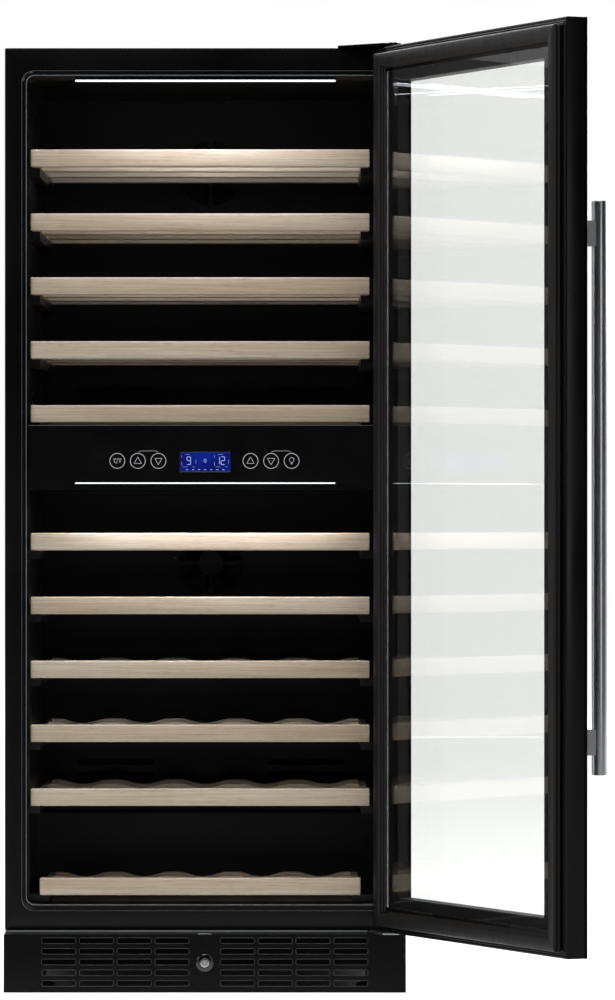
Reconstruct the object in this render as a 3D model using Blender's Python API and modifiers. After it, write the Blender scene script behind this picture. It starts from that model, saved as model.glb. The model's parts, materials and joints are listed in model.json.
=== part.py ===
"""Freestanding dual-zone wine cooler with a glass door, eleven sliding beech shelves and a vented plinth.

Metres, +Z up. The front plane of the cabinet is y = 0, x = 0 is its centre line and z = 0 is the floor.
The door stands open at DOOR_REST_ANGLE. Its pieces are drawn as on a closed door, measured from the hinge
axis, and hang from an empty that carries the angle.
"""

import math

import bmesh
import bpy
from mathutils import Matrix, Vector

# overall
CABINET_WIDTH = 0.595
CABINET_TOP = 1.400
CABINET_DEPTH = 0.575
BODY_BOTTOM = 0.090
GAP = 0.0003  # between pieces that touch

# walls
SHEET = 0.001
FRAME_DEPTH = 0.012
SIDE_WALL = 0.0325
TOP_WALL = 0.041
BOTTOM_WALL = 0.038
BACK_FOAM = 0.045
LINER_WALL = 0.002
OPENING_RADIUS = 0.012
PANEL_FOOT = 0.032  # underside of the side panels above the floor

# machine bay, low at the back
BAY_DEPTH = 0.225
BAY_TOP = 0.215
BAY_FOAM = 0.035
TRAY_BOTTOM = 0.034
TRAY_SHEET = 0.002
TRAY_LIP = 0.020
TRAY_PLAY = 0.004  # inside the side panels and the bay cover

# plinth
PLINTH_UNDER_HINGE = 0.0004
PLINTH_FORWARD = 0.032
PLINTH_SHEET = 0.002
SLOT_COLUMNS = 4  # on each side of the lock
SLOT_ROWS = 5
SLOT_HEIGHT = 0.008
SLOT_GAP = 0.0058
SLOT_TOP_MARGIN = 0.0055
SLOT_SIDE_MARGIN = 0.0565
SLOT_CENTRE_MARGIN = 0.0235
SLOT_LOWEST = 0.0096
SLOT_CORNER = 0.0025

# lock in the plinth
LOCK_HEIGHT = 0.044
BARREL_RADIUS = 0.0068
SLEEVE_RADIUS = 0.0092
ESCUTCHEON_RADIUS = 0.0135
BOLT_WIDTH = 0.020
BOLT_THICKNESS = 0.004
BOLT_BEHIND_PLINTH = 0.0065
BOLT_TRAVEL = 0.008
BOLT_OVER_SLEEVE = 0.0025
BOLT_PLAY = 0.002  # around the bolt in the door's keeper pocket
BARREL_LENGTH = 0.024
BARREL_PROUD = 0.004
SLEEVE_LENGTH = 0.020
FLANGE = 0.003

# zone divider and controls
DIVIDER_HEIGHT = 0.096
DIVIDER_SKIN = 0.002
DIVIDER_PLAY = 0.0004
DIVIDER_TO_DUCT = 0.002
DIVIDER_RECESS = 0.002  # the divider's body is this much thinner than its front panel, above and below
CONTROL_FRONT = 0.004
CONTROL_THICKNESS = 0.006
CONTROL_SIDE_GAP = 0.0025
CONTROL_BOARD = 0.0016
CONTROL_BOARD_STANDOFF = 0.002
DISPLAY_WIDTH = 0.075
DISPLAY_HEIGHT = 0.029
DISPLAY_LOW = 0.027  # above the divider's underside
LIGHT_LENGTH = 0.388
LIGHT_DEPTH = 0.014
LIGHT_HEIGHT = 0.0067
LIGHT_SETBACK = 0.002
SLIT_HEIGHT = 0.003
SLIT_LOW = 0.0085

# shelves
SHELVES_PER_ZONE = 5
BOARD_HEIGHT = 0.026
BOARD_THICKNESS = 0.018
BOARD_FRONT = 0.010
LATCH_SIDE_CLEARANCE = 0.0053
HINGE_SIDE_CLEARANCE = 0.0205  # lets a shelf slide out past the open door
RUNNER_WIDTH = 0.012
RUNNER_HEIGHT = 0.016
SLAT_HEIGHT = 0.020
SLAT_DEPTH = 0.020
FIRST_SLAT = 0.140
LAST_SLAT = 0.056
SPACE_OVER_TOP_SHELF = 0.109
FIRST_BOARD_OVER_DIVIDER = 0.004
SPACE_UNDER_DIVIDER = 0.064
FIRST_RIB_OVER_STEP = 0.0085
LOW_RIB_OVER_FLOOR = 0.0007
LOW_SHELF_INSET = 0.0135
RIB_HEIGHT = 0.012
RIB_START = 0.032
RIB_END = 0.001  # in from the strip's ends
RAIL_STRIP = 0.002
RAIL_OVER_TOP_SHELF = 0.030
SHELF_TO_DUCT = 0.008
SHELF_TO_STEP = 0.012
SHELF_TO_RAIL_END = 0.002
RUNNER_INSET = 0.002  # in from the front board's ends
RUNNER_LAP = 0.001  # of a runner into the front board, and short of its rib's edge
SLAT_LIFT = 0.0005

# duct panels, evaporators and fans
DUCT_DEPTH = 0.035
DUCT_SHEET = 0.002
FAN_RADIUS = 0.048
FAN_HUB_RADIUS = 0.018
FAN_DEPTH = 0.016
FAN_BLADES = 5
FAN_BELOW_TOP = 0.115
BAY_FAN_RADIUS = 0.055
EVAPORATOR_HEIGHT = 0.150
EVAPORATOR_WIDTH = 0.320
EVAPORATOR_DEPTH = 0.018
EVAPORATOR_UNDER_FAN = 0.012
FAN_TO_PANEL = 0.004
GUARD_HUB_PLAY = 0.002
GUARD_TIP_PLAY = 0.003
BLADE_SHEET = 0.0016
BLADE_WIDTH = 0.020
BLADE_ROOT = 0.004  # of a blade inside its hub
BLADE_PITCH = 55.0
DUCT_PLAY = 0.0005
VENT_LENGTH = 0.120
VENT_HEIGHT = 0.008
VENT_CORNER = 0.0035
VENT_OFF_CENTRE = 0.150
VENT_HEIGHTS = (0.045, 0.065)

# compressor, its fan and the condenser
COMPRESSOR_RADIUS = 0.074
COMPRESSOR_HEIGHT = 0.150
COMPRESSOR_FROM_SIDE = 0.14875
COMPRESSOR_FROM_BACK = 0.118
COMPRESSOR_SEAT = 0.012
COMPRESSOR_FOOT = (0.170, 0.110)
BAY_FAN_FROM_SIDE = 0.1904
BAY_FAN_OVER_TRAY = 0.022
BRACKET_SHEET = 0.002
BRACKET_FROM_BAY = 0.006
BRACKET_MARGIN = 0.018
TUBE_RADIUS = 0.003
TUBE_PITCH = 0.030
CONDENSER_MARGIN = 0.028
CONDENSER_SIDE_MARGIN = 0.040
CONDENSER_BEHIND_STEM = 0.012

# feet
FOOT_RADIUS = 0.018
FOOT_HEIGHT = 0.010
FOOT_SLOPE = 0.002
STEM_RADIUS = 0.005
STEM_OVER_TRAY = 0.026
FOOT_INSET = 0.055

# door
DOOR_REST_ANGLE = 116.0
DOOR_SIDE_REVEAL = 0.0025
DOOR_BOTTOM_GAP = 0.001
DOOR_TOP_GAP = 0.003
DOOR_THICKNESS = 0.033
PIVOT_INSET = 0.016  # hinge axis in from the door's hinge edge
PIVOT_BEHIND_FACE = 0.011
PANE = 0.004
DOOR_RAIL = 0.0365
SPACER_WIDTH = 0.010
WINDOW_SIDE = 0.060
WINDOW_END = 0.053
GASKET_DEPTH = 0.0117
GASKET_WIDTH = 0.023
GASKET_SIDE_MARGIN = 0.015
GASKET_END_MARGIN = 0.0095

# handle
HANDLE_LENGTH = 0.803
HANDLE_RADIUS = 0.0108
HANDLE_STANDOFF = 0.045
HANDLE_INSET = 0.048
POST_WIDTH = 0.014
POST_HEIGHT = 0.036
POST_FROM_END = 0.046

# hinges
HINGE_PLATE = 0.003
PIN_RADIUS = 0.004
PIN_HEAD_RADIUS = 0.007
PIN_HEAD = 0.002
PIN_REACH = 0.028
PIN_PLAY = 0.0003
PIN_HOLE_OVER = 0.003
UPPER_HINGE_REACH = 0.093
LOWER_HINGE_REACH = 0.047
UPPER_HINGE_SHOULDER = -0.002
LOWER_HINGE_SHOULDER = -0.012
HINGE_SIDE_INSET = 0.0075
HINGE_CHAMFER = 0.006
HINGE_NOSE = 0.033
HINGE_FORWARD = 0.016
HINGE_SEAT = 0.045

# mains inlet
INLET_WIDTH = 0.048
INLET_HEIGHT = 0.028
INLET_DEPTH = 0.030
INLET_WALL = 0.004
INLET_PROUD = 0.0015
INLET_FROM_SIDE = 0.060
INLET_OVER_COVER = 0.055
COVER_SLOT_LENGTH = 0.110
COVER_SLOT_PITCH = 0.022
COVER_SLOT_LOWEST = 0.050
COVER_SLOT_COLUMNS = (-0.060, 0.075, 0.210)
COVER_SLOT_ROWS = 5
COVER_OVER_TRAY = 0.004

ROUND = 24  # sides of a round piece
EASE = 0.0008  # broken edge of a turned piece

# worked out from the values above
HALF_WIDTH = CABINET_WIDTH / 2
HALF_OPENING = HALF_WIDTH - SIDE_WALL
OPENING_TOP = CABINET_TOP - TOP_WALL
OPENING_BOTTOM = BODY_BOTTOM + BOTTOM_WALL
HINGE_PLATE_LOW = BODY_BOTTOM - GAP - HINGE_PLATE
HINGE_PLATE_HIGH = CABINET_TOP + GAP
PLINTH_TOP = HINGE_PLATE_LOW - PLINTH_UNDER_HINGE
SLOT_PITCH = (PLINTH_TOP - SLOT_LOWEST - SLOT_TOP_MARGIN - SLOT_HEIGHT) / (SLOT_ROWS - 1)
BODY_START = FRAME_DEPTH + GAP
BODY_END = CABINET_DEPTH - SHEET - GAP
INNER_HALF = HALF_WIDTH - SHEET - GAP
BAY_FRONT = CABINET_DEPTH - BAY_DEPTH
LINER_BACK = CABINET_DEPTH - SHEET - BACK_FOAM - LINER_WALL
STEP_FRONT = BAY_FRONT - SHEET - BAY_FOAM - LINER_WALL
STEP_TOP = BAY_TOP + SHEET + BAY_FOAM + LINER_WALL
DUCT_FRONT = LINER_BACK - DUCT_DEPTH - DUCT_SHEET
SHELF_LEFT = -HALF_OPENING + LATCH_SIDE_CLEARANCE
SHELF_RIGHT = HALF_OPENING - HINGE_SIDE_CLEARANCE
SHELF_BACK = DUCT_FRONT - SHELF_TO_DUCT
LOW_SHELF_BACK = STEP_FRONT - SHELF_TO_STEP
BOARD_ON_RIB = RIB_HEIGHT + GAP + BOARD_HEIGHT  # from a rib's underside to the board's top
LOWER_ZONE_FIRST = STEP_TOP + FIRST_RIB_OVER_STEP + BOARD_ON_RIB
SHELF_PITCH = (
    OPENING_TOP - SPACE_OVER_TOP_SHELF - BOARD_HEIGHT - FIRST_BOARD_OVER_DIVIDER - DIVIDER_HEIGHT
    - SPACE_UNDER_DIVIDER - LOWER_ZONE_FIRST
) / (2 * SHELVES_PER_ZONE - 2)
DIVIDER_BOTTOM = LOWER_ZONE_FIRST + (SHELVES_PER_ZONE - 1) * SHELF_PITCH + SPACE_UNDER_DIVIDER
DIVIDER_TOP = DIVIDER_BOTTOM + DIVIDER_HEIGHT
UPPER_ZONE_FIRST = DIVIDER_TOP + FIRST_BOARD_OVER_DIVIDER + BOARD_HEIGHT
LOW_SHELF_Z = OPENING_BOTTOM + LOW_RIB_OVER_FLOOR + BOARD_ON_RIB
TRAY_TOP = TRAY_BOTTOM + TRAY_SHEET
STEM_TOP = TRAY_TOP + STEM_OVER_TRAY
BOLT_Y = -PLINTH_FORWARD + PLINTH_SHEET + BOLT_BEHIND_PLINTH
DOOR_HALF = HALF_WIDTH - DOOR_SIDE_REVEAL
DOOR_LOW = BODY_BOTTOM + DOOR_BOTTOM_GAP
DOOR_HIGH = CABINET_TOP - DOOR_TOP_GAP
DOOR_MIDDLE = (DOOR_LOW + DOOR_HIGH) / 2
DOOR_BACK = DOOR_THICKNESS - PIVOT_BEHIND_FACE  # the door's inner plane behind the hinge axis
PIVOT_X = DOOR_HALF - PIVOT_INSET
PIVOT_Y = -GASKET_DEPTH - 2 * GAP - DOOR_BACK

FINISHES = {  # colour, roughness, metallic
    "black_enamel": ((0.006, 0.006, 0.007), 0.38, 0.0),
    "black_gloss": ((0.004, 0.004, 0.005), 0.08, 0.0),
    "black_liner": ((0.010, 0.010, 0.011), 0.50, 0.0),
    "black_rubber": ((0.018, 0.018, 0.019), 0.70, 0.0),
    "foam": ((0.62, 0.52, 0.30), 0.90, 0.0),
    "zinc_steel": ((0.55, 0.56, 0.58), 0.35, 1.0),
    "brushed_steel": ((0.48, 0.48, 0.49), 0.28, 1.0),
    "copper": ((0.70, 0.30, 0.16), 0.30, 1.0),
    "aluminium": ((0.62, 0.63, 0.65), 0.40, 1.0),
    "clear_glass": ((0.80, 0.84, 0.84), 0.02, 0.0),
    "blue_display": ((0.004, 0.012, 0.30), 0.15, 0.0),
    "light_lens": ((0.90, 0.92, 0.95), 0.30, 0.0),
    "beech": ((0.52, 0.34, 0.19), 0.50, 0.0),
    "circuit_green": ((0.02, 0.16, 0.06), 0.50, 0.0),
}


def clear_scene():
    for thing in list(bpy.data.objects):
        bpy.data.objects.remove(thing)


def new_collection(name):
    collection = bpy.data.collections.new(name)
    bpy.context.scene.collection.children.link(collection)
    return collection


def finish_material(name):
    known = bpy.data.materials.get(name)
    if known:
        return known
    colour, roughness, metallic = FINISHES[name]
    material = bpy.data.materials.new(name)
    material.use_nodes = True
    shader = material.node_tree.nodes["Principled BSDF"]
    shader.inputs["Base Color"].default_value = (*colour, 1.0)
    shader.inputs["Roughness"].default_value = roughness
    shader.inputs["Metallic"].default_value = metallic
    return material


def add_object(name, data, finish=None, location=(0, 0, 0)):
    """Links a piece to the cooler, or a shape without a finish to the cutters."""
    made = bpy.data.objects.new(name, data)
    made.location = location
    if finish:
        data.materials.append(finish_material(finish))
        bpy.data.collections["wine_cooler"].objects.link(made)
    else:
        made.hide_render = True
        made.display_type = "WIRE"
        bpy.data.collections["cutters"].objects.link(made)
    return made


def add_box(name, low, high, finish=None):
    low, high = Vector(low), Vector(high)
    size = high - low
    mesh = bpy.data.meshes.new(name)
    work = bmesh.new()
    bmesh.ops.create_cube(work, size=1.0, matrix=Matrix.Diagonal((*size, 1.0)))
    work.to_mesh(mesh)
    work.free()
    return add_object(name, mesh, finish, (low + high) / 2)


# the turn that lays a shape drawn in its own XY plane, and pushed out along its Z, along each axis
ALONG = {
    "X": Matrix(((0, 0, 1), (1, 0, 0), (0, 1, 0))).to_4x4(),
    "Y": Matrix(((1, 0, 0), (0, 0, -1), (0, 1, 0))).to_4x4(),
    "Z": Matrix.Identity(4),
}


def add_cylinder(name, centre, axis, radius, length, finish=None):
    mesh = bpy.data.meshes.new(name)
    work = bmesh.new()
    bmesh.ops.create_cone(
        work, cap_ends=True, segments=ROUND, radius1=radius, radius2=radius, depth=length, matrix=ALONG[axis]
    )
    work.to_mesh(mesh)
    work.free()
    mesh.shade_smooth()
    mesh.set_sharp_from_angle(angle=math.radians(30))
    return add_object(name, mesh, finish, centre)


def mesh_of_curve(drawn, name):
    """The curve's own mesh with its caps welded on. The curve is removed."""
    depsgraph = bpy.context.evaluated_depsgraph_get()
    mesh = bpy.data.meshes.new_from_object(drawn.evaluated_get(depsgraph))
    mesh.name = name
    work = bmesh.new()
    work.from_mesh(mesh)
    bmesh.ops.remove_doubles(work, verts=work.verts, dist=0.00001)
    bmesh.ops.recalc_face_normals(work, faces=work.faces)
    work.to_mesh(mesh)
    work.free()
    curve = drawn.data
    bpy.data.objects.remove(drawn)
    bpy.data.curves.remove(curve)
    return mesh


def add_extrusion(name, outlines, axis, low, high, finish=None):
    """A flat outline, with an outline inside it as a hole, pushed out between two places along an axis."""
    curve = bpy.data.curves.new(name + "_outline", "CURVE")
    curve.dimensions = "2D"
    curve.fill_mode = "BOTH"
    curve.extrude = abs(high - low) / 2
    for outline in outlines:
        spline = curve.splines.new("POLY")
        spline.points.add(len(outline) - 1)
        spline.use_cyclic_u = True
        for point, (u, v) in zip(spline.points, outline):
            point.co = (u, v, 0, 1)
    drawn = add_object(name + "_outline", curve)
    mesh = mesh_of_curve(drawn, name)
    mesh.transform(ALONG[axis])
    if mesh.materials:
        mesh.materials.clear()
    middle = (low + high) / 2
    location = {"X": (middle, 0, 0), "Y": (0, middle, 0), "Z": (0, 0, middle)}[axis]
    return add_object(name, mesh, finish, location)


def add_tube(name, points, radius, finish):
    curve = bpy.data.curves.new(name + "_path", "CURVE")
    curve.dimensions = "3D"
    curve.bevel_depth = radius
    curve.bevel_resolution = 2
    curve.use_fill_caps = True
    spline = curve.splines.new("POLY")
    spline.points.add(len(points) - 1)
    for point, place in zip(spline.points, points):
        point.co = (*place, 1)
    mesh = mesh_of_curve(add_object(name + "_path", curve), name)
    mesh.shade_smooth()
    return add_object(name, mesh, finish)


def add_turned(name, profile, centre, axis, finish, steps=ROUND):
    """A profile of (radius, height), from its top down to its bottom, turned about an axis by a Screw."""
    mesh = bpy.data.meshes.new(name)
    work = bmesh.new()
    ring = [work.verts.new((radius, 0, height)) for radius, height in profile]
    for upper, lower in zip(ring, ring[1:]):
        work.edges.new((upper, lower))
    work.to_mesh(mesh)
    work.free()
    made = add_object(name, mesh, finish, centre)
    if axis == "Y":  # the profile's top then points along -Y
        made.rotation_euler = (math.radians(90), 0, 0)
    screw = made.modifiers.new("turn", "SCREW")
    screw.steps = screw.render_steps = steps
    screw.use_merge_vertices = True
    screw.merge_threshold = 0.00001
    screw.use_smooth_shade = False
    return made


def combine(made, tools, operation):
    for tool in tools:
        step = made.modifiers.new(operation.lower() + "_" + tool.name, "BOOLEAN")
        step.operation = operation
        step.object = tool
    return made


def cut(made, *tools):
    return combine(made, tools, "DIFFERENCE")


def unite(made, *tools):
    return combine(made, tools, "UNION")


def rectangle(left, right, low, high):
    return [(left, low), (right, low), (right, high), (left, high)]


def rounded_rectangle(left, right, low, high, radius, steps=4):
    corners = [(right, high, 0), (left, high, 90), (left, low, 180), (right, low, 270)]
    points = []
    for x, z, start in corners:
        centre_x = x - math.copysign(radius, x - (left + right) / 2)
        centre_z = z - math.copysign(radius, z - (low + high) / 2)
        for i in range(steps + 1):
            angle = math.radians(start + 90 * i / steps)
            points.append((centre_x + radius * math.cos(angle), centre_z + radius * math.sin(angle)))
    return points


def stepped_outline(front, back, floor, ceiling, step_front, step_top):
    """The side view (y, z) of a space whose floor steps up over the machine bay at the back."""
    return [
        (front, floor), (step_front, floor), (step_front, step_top),
        (back, step_top), (back, ceiling), (front, ceiling),
    ]


def add_cabinet_panels():
    for side, low_x in (("left", -HALF_WIDTH), ("right", HALF_WIDTH - SHEET)):
        add_box(
            f"{side}_side_panel",
            (low_x, BODY_START, PANEL_FOOT), (low_x + SHEET, BODY_END, CABINET_TOP), "black_enamel",
        )
    add_box(
        "top_panel",
        (-INNER_HALF, BODY_START, CABINET_TOP - SHEET), (INNER_HALF, BODY_END, CABINET_TOP), "black_enamel",
    )
    add_box(
        "back_panel",
        (-HALF_WIDTH, CABINET_DEPTH - SHEET, BAY_TOP), (HALF_WIDTH, CABINET_DEPTH, CABINET_TOP), "zinc_steel",
    )
    bent = [
        (BODY_START, BODY_BOTTOM), (BAY_FRONT, BODY_BOTTOM), (BAY_FRONT, BAY_TOP), (BODY_END, BAY_TOP),
        (BODY_END, BAY_TOP + SHEET), (BAY_FRONT - SHEET, BAY_TOP + SHEET),
        (BAY_FRONT - SHEET, BODY_BOTTOM + SHEET), (BODY_START, BODY_BOTTOM + SHEET),
    ]
    add_extrusion("bottom_panel", [bent], "X", -INNER_HALF, INNER_HALF, "zinc_steel")
    outer = rectangle(-HALF_WIDTH, HALF_WIDTH, BODY_BOTTOM, CABINET_TOP)
    hole = rounded_rectangle(-HALF_OPENING, HALF_OPENING, OPENING_BOTTOM, OPENING_TOP, OPENING_RADIUS)
    add_extrusion("front_frame", [outer, hole], "Y", 0, FRAME_DEPTH, "black_enamel")


def add_liner_and_foam():
    wall = LINER_WALL
    cavity = stepped_outline(-FRAME_DEPTH, LINER_BACK, OPENING_BOTTOM, OPENING_TOP, STEP_FRONT, STEP_TOP)
    shell = stepped_outline(
        BODY_START, LINER_BACK + wall, OPENING_BOTTOM - wall, OPENING_TOP + wall,
        STEP_FRONT + wall, STEP_TOP - wall,
    )
    half_shell = HALF_OPENING + wall
    liner = add_extrusion("inner_liner", [shell], "X", -half_shell, half_shell, "black_liner")
    cut(liner, add_extrusion("liner_cavity", [cavity], "X", -HALF_OPENING, HALF_OPENING))

    room = wall + GAP
    foam_outline = stepped_outline(
        BODY_START, BODY_END, BODY_BOTTOM + SHEET + GAP, CABINET_TOP - SHEET - GAP,
        BAY_FRONT - SHEET - GAP, BAY_TOP + SHEET + GAP,
    )
    hollow = stepped_outline(
        -FRAME_DEPTH, LINER_BACK + room, OPENING_BOTTOM - room, OPENING_TOP + room,
        STEP_FRONT + room, STEP_TOP - room,
    )
    foam = add_extrusion("foam_insulation", [foam_outline], "X", -INNER_HALF, INNER_HALF, "foam")
    cut(foam, add_extrusion("foam_hollow", [hollow], "X", -HALF_OPENING - room, HALF_OPENING + room))


def add_divider_and_controls():
    half = HALF_OPENING - RAIL_STRIP - 2 * GAP - DIVIDER_PLAY
    back = DUCT_FRONT - DIVIDER_TO_DUCT
    front = CONTROL_FRONT + CONTROL_THICKNESS + GAP
    low, high = DIVIDER_BOTTOM + DIVIDER_RECESS, DIVIDER_TOP - DIVIDER_RECESS
    skin = DIVIDER_SKIN
    divider = add_box("zone_divider", (-half, front, low), (half, back, high), "black_liner")
    hollow = add_box(
        "divider_hollow", (-half + skin, front + skin, low + skin), (half - skin, back + skin, high - skin)
    )
    cut(divider, hollow)

    panel_half = HALF_OPENING - CONTROL_SIDE_GAP
    display_low = DIVIDER_BOTTOM + DISPLAY_LOW
    slit_low = DIVIDER_BOTTOM + SLIT_LOW
    outlines = [
        rectangle(-panel_half, panel_half, DIVIDER_BOTTOM, DIVIDER_TOP),
        rectangle(-DISPLAY_WIDTH / 2, DISPLAY_WIDTH / 2, display_low, display_low + DISPLAY_HEIGHT),
        rectangle(-LIGHT_LENGTH / 2, LIGHT_LENGTH / 2, slit_low, slit_low + SLIT_HEIGHT),
    ]
    panel_back = CONTROL_FRONT + CONTROL_THICKNESS
    add_extrusion("control_panel", outlines, "Y", CONTROL_FRONT, panel_back, "black_gloss")
    add_box(
        "display_window",
        (-DISPLAY_WIDTH / 2 + GAP, CONTROL_FRONT + GAP, display_low + GAP),
        (DISPLAY_WIDTH / 2 - GAP, panel_back, display_low + DISPLAY_HEIGHT - GAP), "blue_display",
    )
    add_box(
        "lower_light",
        (-LIGHT_LENGTH / 2 + GAP, CONTROL_FRONT + GAP, slit_low + GAP),
        (LIGHT_LENGTH / 2 - GAP, panel_back, slit_low + SLIT_HEIGHT - GAP), "light_lens",
    )
    add_box(
        "upper_light",
        (-LIGHT_LENGTH / 2, BODY_START + LIGHT_SETBACK, OPENING_TOP - GAP - LIGHT_HEIGHT),
        (LIGHT_LENGTH / 2, BODY_START + LIGHT_SETBACK + LIGHT_DEPTH, OPENING_TOP - GAP), "light_lens",
    )
    board_front = front + skin + CONTROL_BOARD_STANDOFF
    add_box(
        "control_board",
        (-DISPLAY_WIDTH, board_front, display_low),
        (DISPLAY_WIDTH, board_front + CONTROL_BOARD, display_low + DISPLAY_HEIGHT), "circuit_green",
    )


def shelf_tops():
    """The top of each front board from the highest shelf down."""
    upper = [UPPER_ZONE_FIRST + i * SHELF_PITCH for i in range(SHELVES_PER_ZONE)]
    lower = [LOWER_ZONE_FIRST + i * SHELF_PITCH for i in range(SHELVES_PER_ZONE)]
    return sorted(upper + lower, reverse=True)


def add_shelf(name, top, left, right, back, slats):
    """A beech front board, two side runners and cross slats, glued into one tray."""
    low = top - BOARD_HEIGHT
    board_back = BOARD_FRONT + BOARD_THICKNESS
    shelf = add_box(name, (left, BOARD_FRONT, low), (right, board_back, top), "beech")
    tools = []
    for side, edge in (("left", left + RUNNER_INSET), ("right", right - RUNNER_INSET - RUNNER_WIDTH)):
        tools.append(add_box(
            f"{name}_{side}_runner",
            (edge, board_back - RUNNER_LAP, low), (edge + RUNNER_WIDTH, back, low + RUNNER_HEIGHT),
        ))
    first, last = BOARD_FRONT + FIRST_SLAT, back - LAST_SLAT
    for i in range(slats):
        middle = first + (last - first) * i / (slats - 1)
        tools.append(add_box(
            f"{name}_slat_{i + 1}",
            (left + RUNNER_WIDTH, middle - SLAT_DEPTH / 2, low + SLAT_LIFT),
            (right - RUNNER_WIDTH, middle + SLAT_DEPTH / 2, low + SLAT_HEIGHT),
        ))
    return unite(shelf, *tools)


def add_shelves():
    for number, top in enumerate(shelf_tops(), 1):
        add_shelf(f"shelf_{number:02d}", top, SHELF_LEFT, SHELF_RIGHT, SHELF_BACK, 3)
    last = 2 * SHELVES_PER_ZONE + 1
    left = -HALF_OPENING + LATCH_SIDE_CLEARANCE + LOW_SHELF_INSET
    right = SHELF_RIGHT - LOW_SHELF_INSET
    add_shelf(f"shelf_{last:02d}", LOW_SHELF_Z, left, right, LOW_SHELF_BACK, 2)


def add_rails():
    """On each side wall a strip with a rib under every shelf's runner."""
    for side, sign, shelf_edge in (("left", -1, SHELF_LEFT), ("right", 1, SHELF_RIGHT)):
        wall = sign * (HALF_OPENING - GAP)
        strip_face = wall - sign * RAIL_STRIP
        strip_back = SHELF_BACK - SHELF_TO_RAIL_END
        strip_top = shelf_tops()[0] + RAIL_OVER_TOP_SHELF
        low_back = LOW_SHELF_BACK - 5 * SHELF_TO_RAIL_END
        outline = [
            (RIB_START, OPENING_BOTTOM + GAP), (low_back, OPENING_BOTTOM + GAP), (low_back, STEP_TOP + GAP),
            (strip_back, STEP_TOP + GAP), (strip_back, strip_top), (RIB_START, strip_top),
        ]
        rails = add_extrusion(f"{side}_rails", [outline], "X", min(wall, strip_face), max(wall, strip_face),
                              "black_liner")
        ribs = []
        reach = shelf_edge - sign * (RUNNER_WIDTH + RUNNER_LAP)
        rows = [(top, reach, strip_back) for top in shelf_tops()]
        rows.append((LOW_SHELF_Z, reach - sign * LOW_SHELF_INSET, low_back - RIB_END))
        for number, (top, inner, back) in enumerate(rows, 1):
            high = top - BOARD_HEIGHT - GAP
            low = high - RIB_HEIGHT
            if high > DIVIDER_TOP:
                low = max(low, DIVIDER_TOP - DIVIDER_RECESS + GAP)  # the lowest one lies on the divider
            near, far = sorted((inner, strip_face + sign * RAIL_STRIP / 2))
            ribs.append(add_box(
                f"{side}_rib_{number}", (near, RIB_START + RIB_END, low), (far, back - RIB_END, high)
            ))
        unite(rails, *ribs)


def slot_outline(x, z, length):
    """A round-cornered slot of the duct panels and the bay cover, about its centre."""
    half, tall = length / 2, VENT_HEIGHT / 2
    return rounded_rectangle(x - half, x + half, z - tall, z + tall, VENT_CORNER, 2)


def sector(centre, inner, outer, start, end, steps=6):
    """The outline of one opening of a fan guard, between two radii and two angles in degrees."""
    angles = [math.radians(start + (end - start) * i / steps) for i in range(steps + 1)]
    far = [(centre[0] + outer * math.cos(a), centre[1] + outer * math.sin(a)) for a in angles]
    near = [(centre[0] + inner * math.cos(a), centre[1] + inner * math.sin(a)) for a in reversed(angles)]
    return far + near


def guard_openings(centre, radius):
    return [
        sector(centre, FAN_HUB_RADIUS + GUARD_HUB_PLAY, radius + GUARD_TIP_PLAY, 90 * i + 6, 90 * i + 84)
        for i in range(4)
    ]


def add_fan(name, centre, radius, finish):
    """A hub on the Y axis with pitched blades."""
    fan = add_cylinder(name, centre, "Y", FAN_HUB_RADIUS, FAN_DEPTH, finish)
    blades = []
    length = radius - FAN_HUB_RADIUS + BLADE_ROOT
    for i in range(FAN_BLADES):
        blade = add_box(
            f"{name}_blade_{i + 1}",
            (-length / 2, -BLADE_SHEET / 2, -BLADE_WIDTH / 2), (length / 2, BLADE_SHEET / 2, BLADE_WIDTH / 2),
        )
        out = Matrix.Translation((FAN_HUB_RADIUS - BLADE_ROOT + length / 2, 0, 0)) @ Matrix.Rotation(
            math.radians(BLADE_PITCH), 4, "X"
        )
        turn = Matrix.Rotation(2 * math.pi * i / FAN_BLADES, 4, "Y")
        blade.matrix_world = Matrix.Translation(centre) @ turn @ out
        blades.append(blade)
    return unite(fan, *blades)


def add_air_ducts():
    """A panel in front of each zone's evaporator, with its fan behind a four-part guard."""
    half = HALF_OPENING - DUCT_PLAY
    back = DUCT_FRONT + DUCT_SHEET
    fan_y = back + FAN_TO_PANEL + FAN_DEPTH / 2
    zones = (
        ("upper", DIVIDER_TOP - DIVIDER_RECESS, OPENING_TOP),
        ("lower", STEP_TOP, DIVIDER_BOTTOM + DIVIDER_RECESS),
    )
    for zone, low, high in zones:
        fan_centre = (0, high - FAN_BELOW_TOP)
        vents = [
            slot_outline(x, low + height, VENT_LENGTH)
            for x in (-VENT_OFF_CENTRE, VENT_OFF_CENTRE) for height in VENT_HEIGHTS
        ]
        outline = rectangle(-half, half, low + DUCT_PLAY, high - DUCT_PLAY)
        add_extrusion(
            f"{zone}_duct_panel", [outline, *vents, *guard_openings(fan_centre, FAN_RADIUS)],
            "Y", DUCT_FRONT, back, "black_liner",
        )
        add_fan(f"{zone}_fan", (0, fan_y, fan_centre[1]), FAN_RADIUS, "black_liner")
        top = fan_centre[1] - FAN_RADIUS - EVAPORATOR_UNDER_FAN
        add_box(
            f"{zone}_evaporator",
            (-EVAPORATOR_WIDTH / 2, LINER_BACK - GAP - EVAPORATOR_DEPTH, top - EVAPORATOR_HEIGHT),
            (EVAPORATOR_WIDTH / 2, LINER_BACK - GAP, top), "aluminium",
        )


def foot_places():
    x = HALF_WIDTH - FOOT_INSET
    return {
        "front_left": (-x, FOOT_INSET), "front_right": (x, FOOT_INSET),
        "back_left": (-x, CABINET_DEPTH - FOOT_INSET), "back_right": (x, CABINET_DEPTH - FOOT_INSET),
    }


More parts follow.
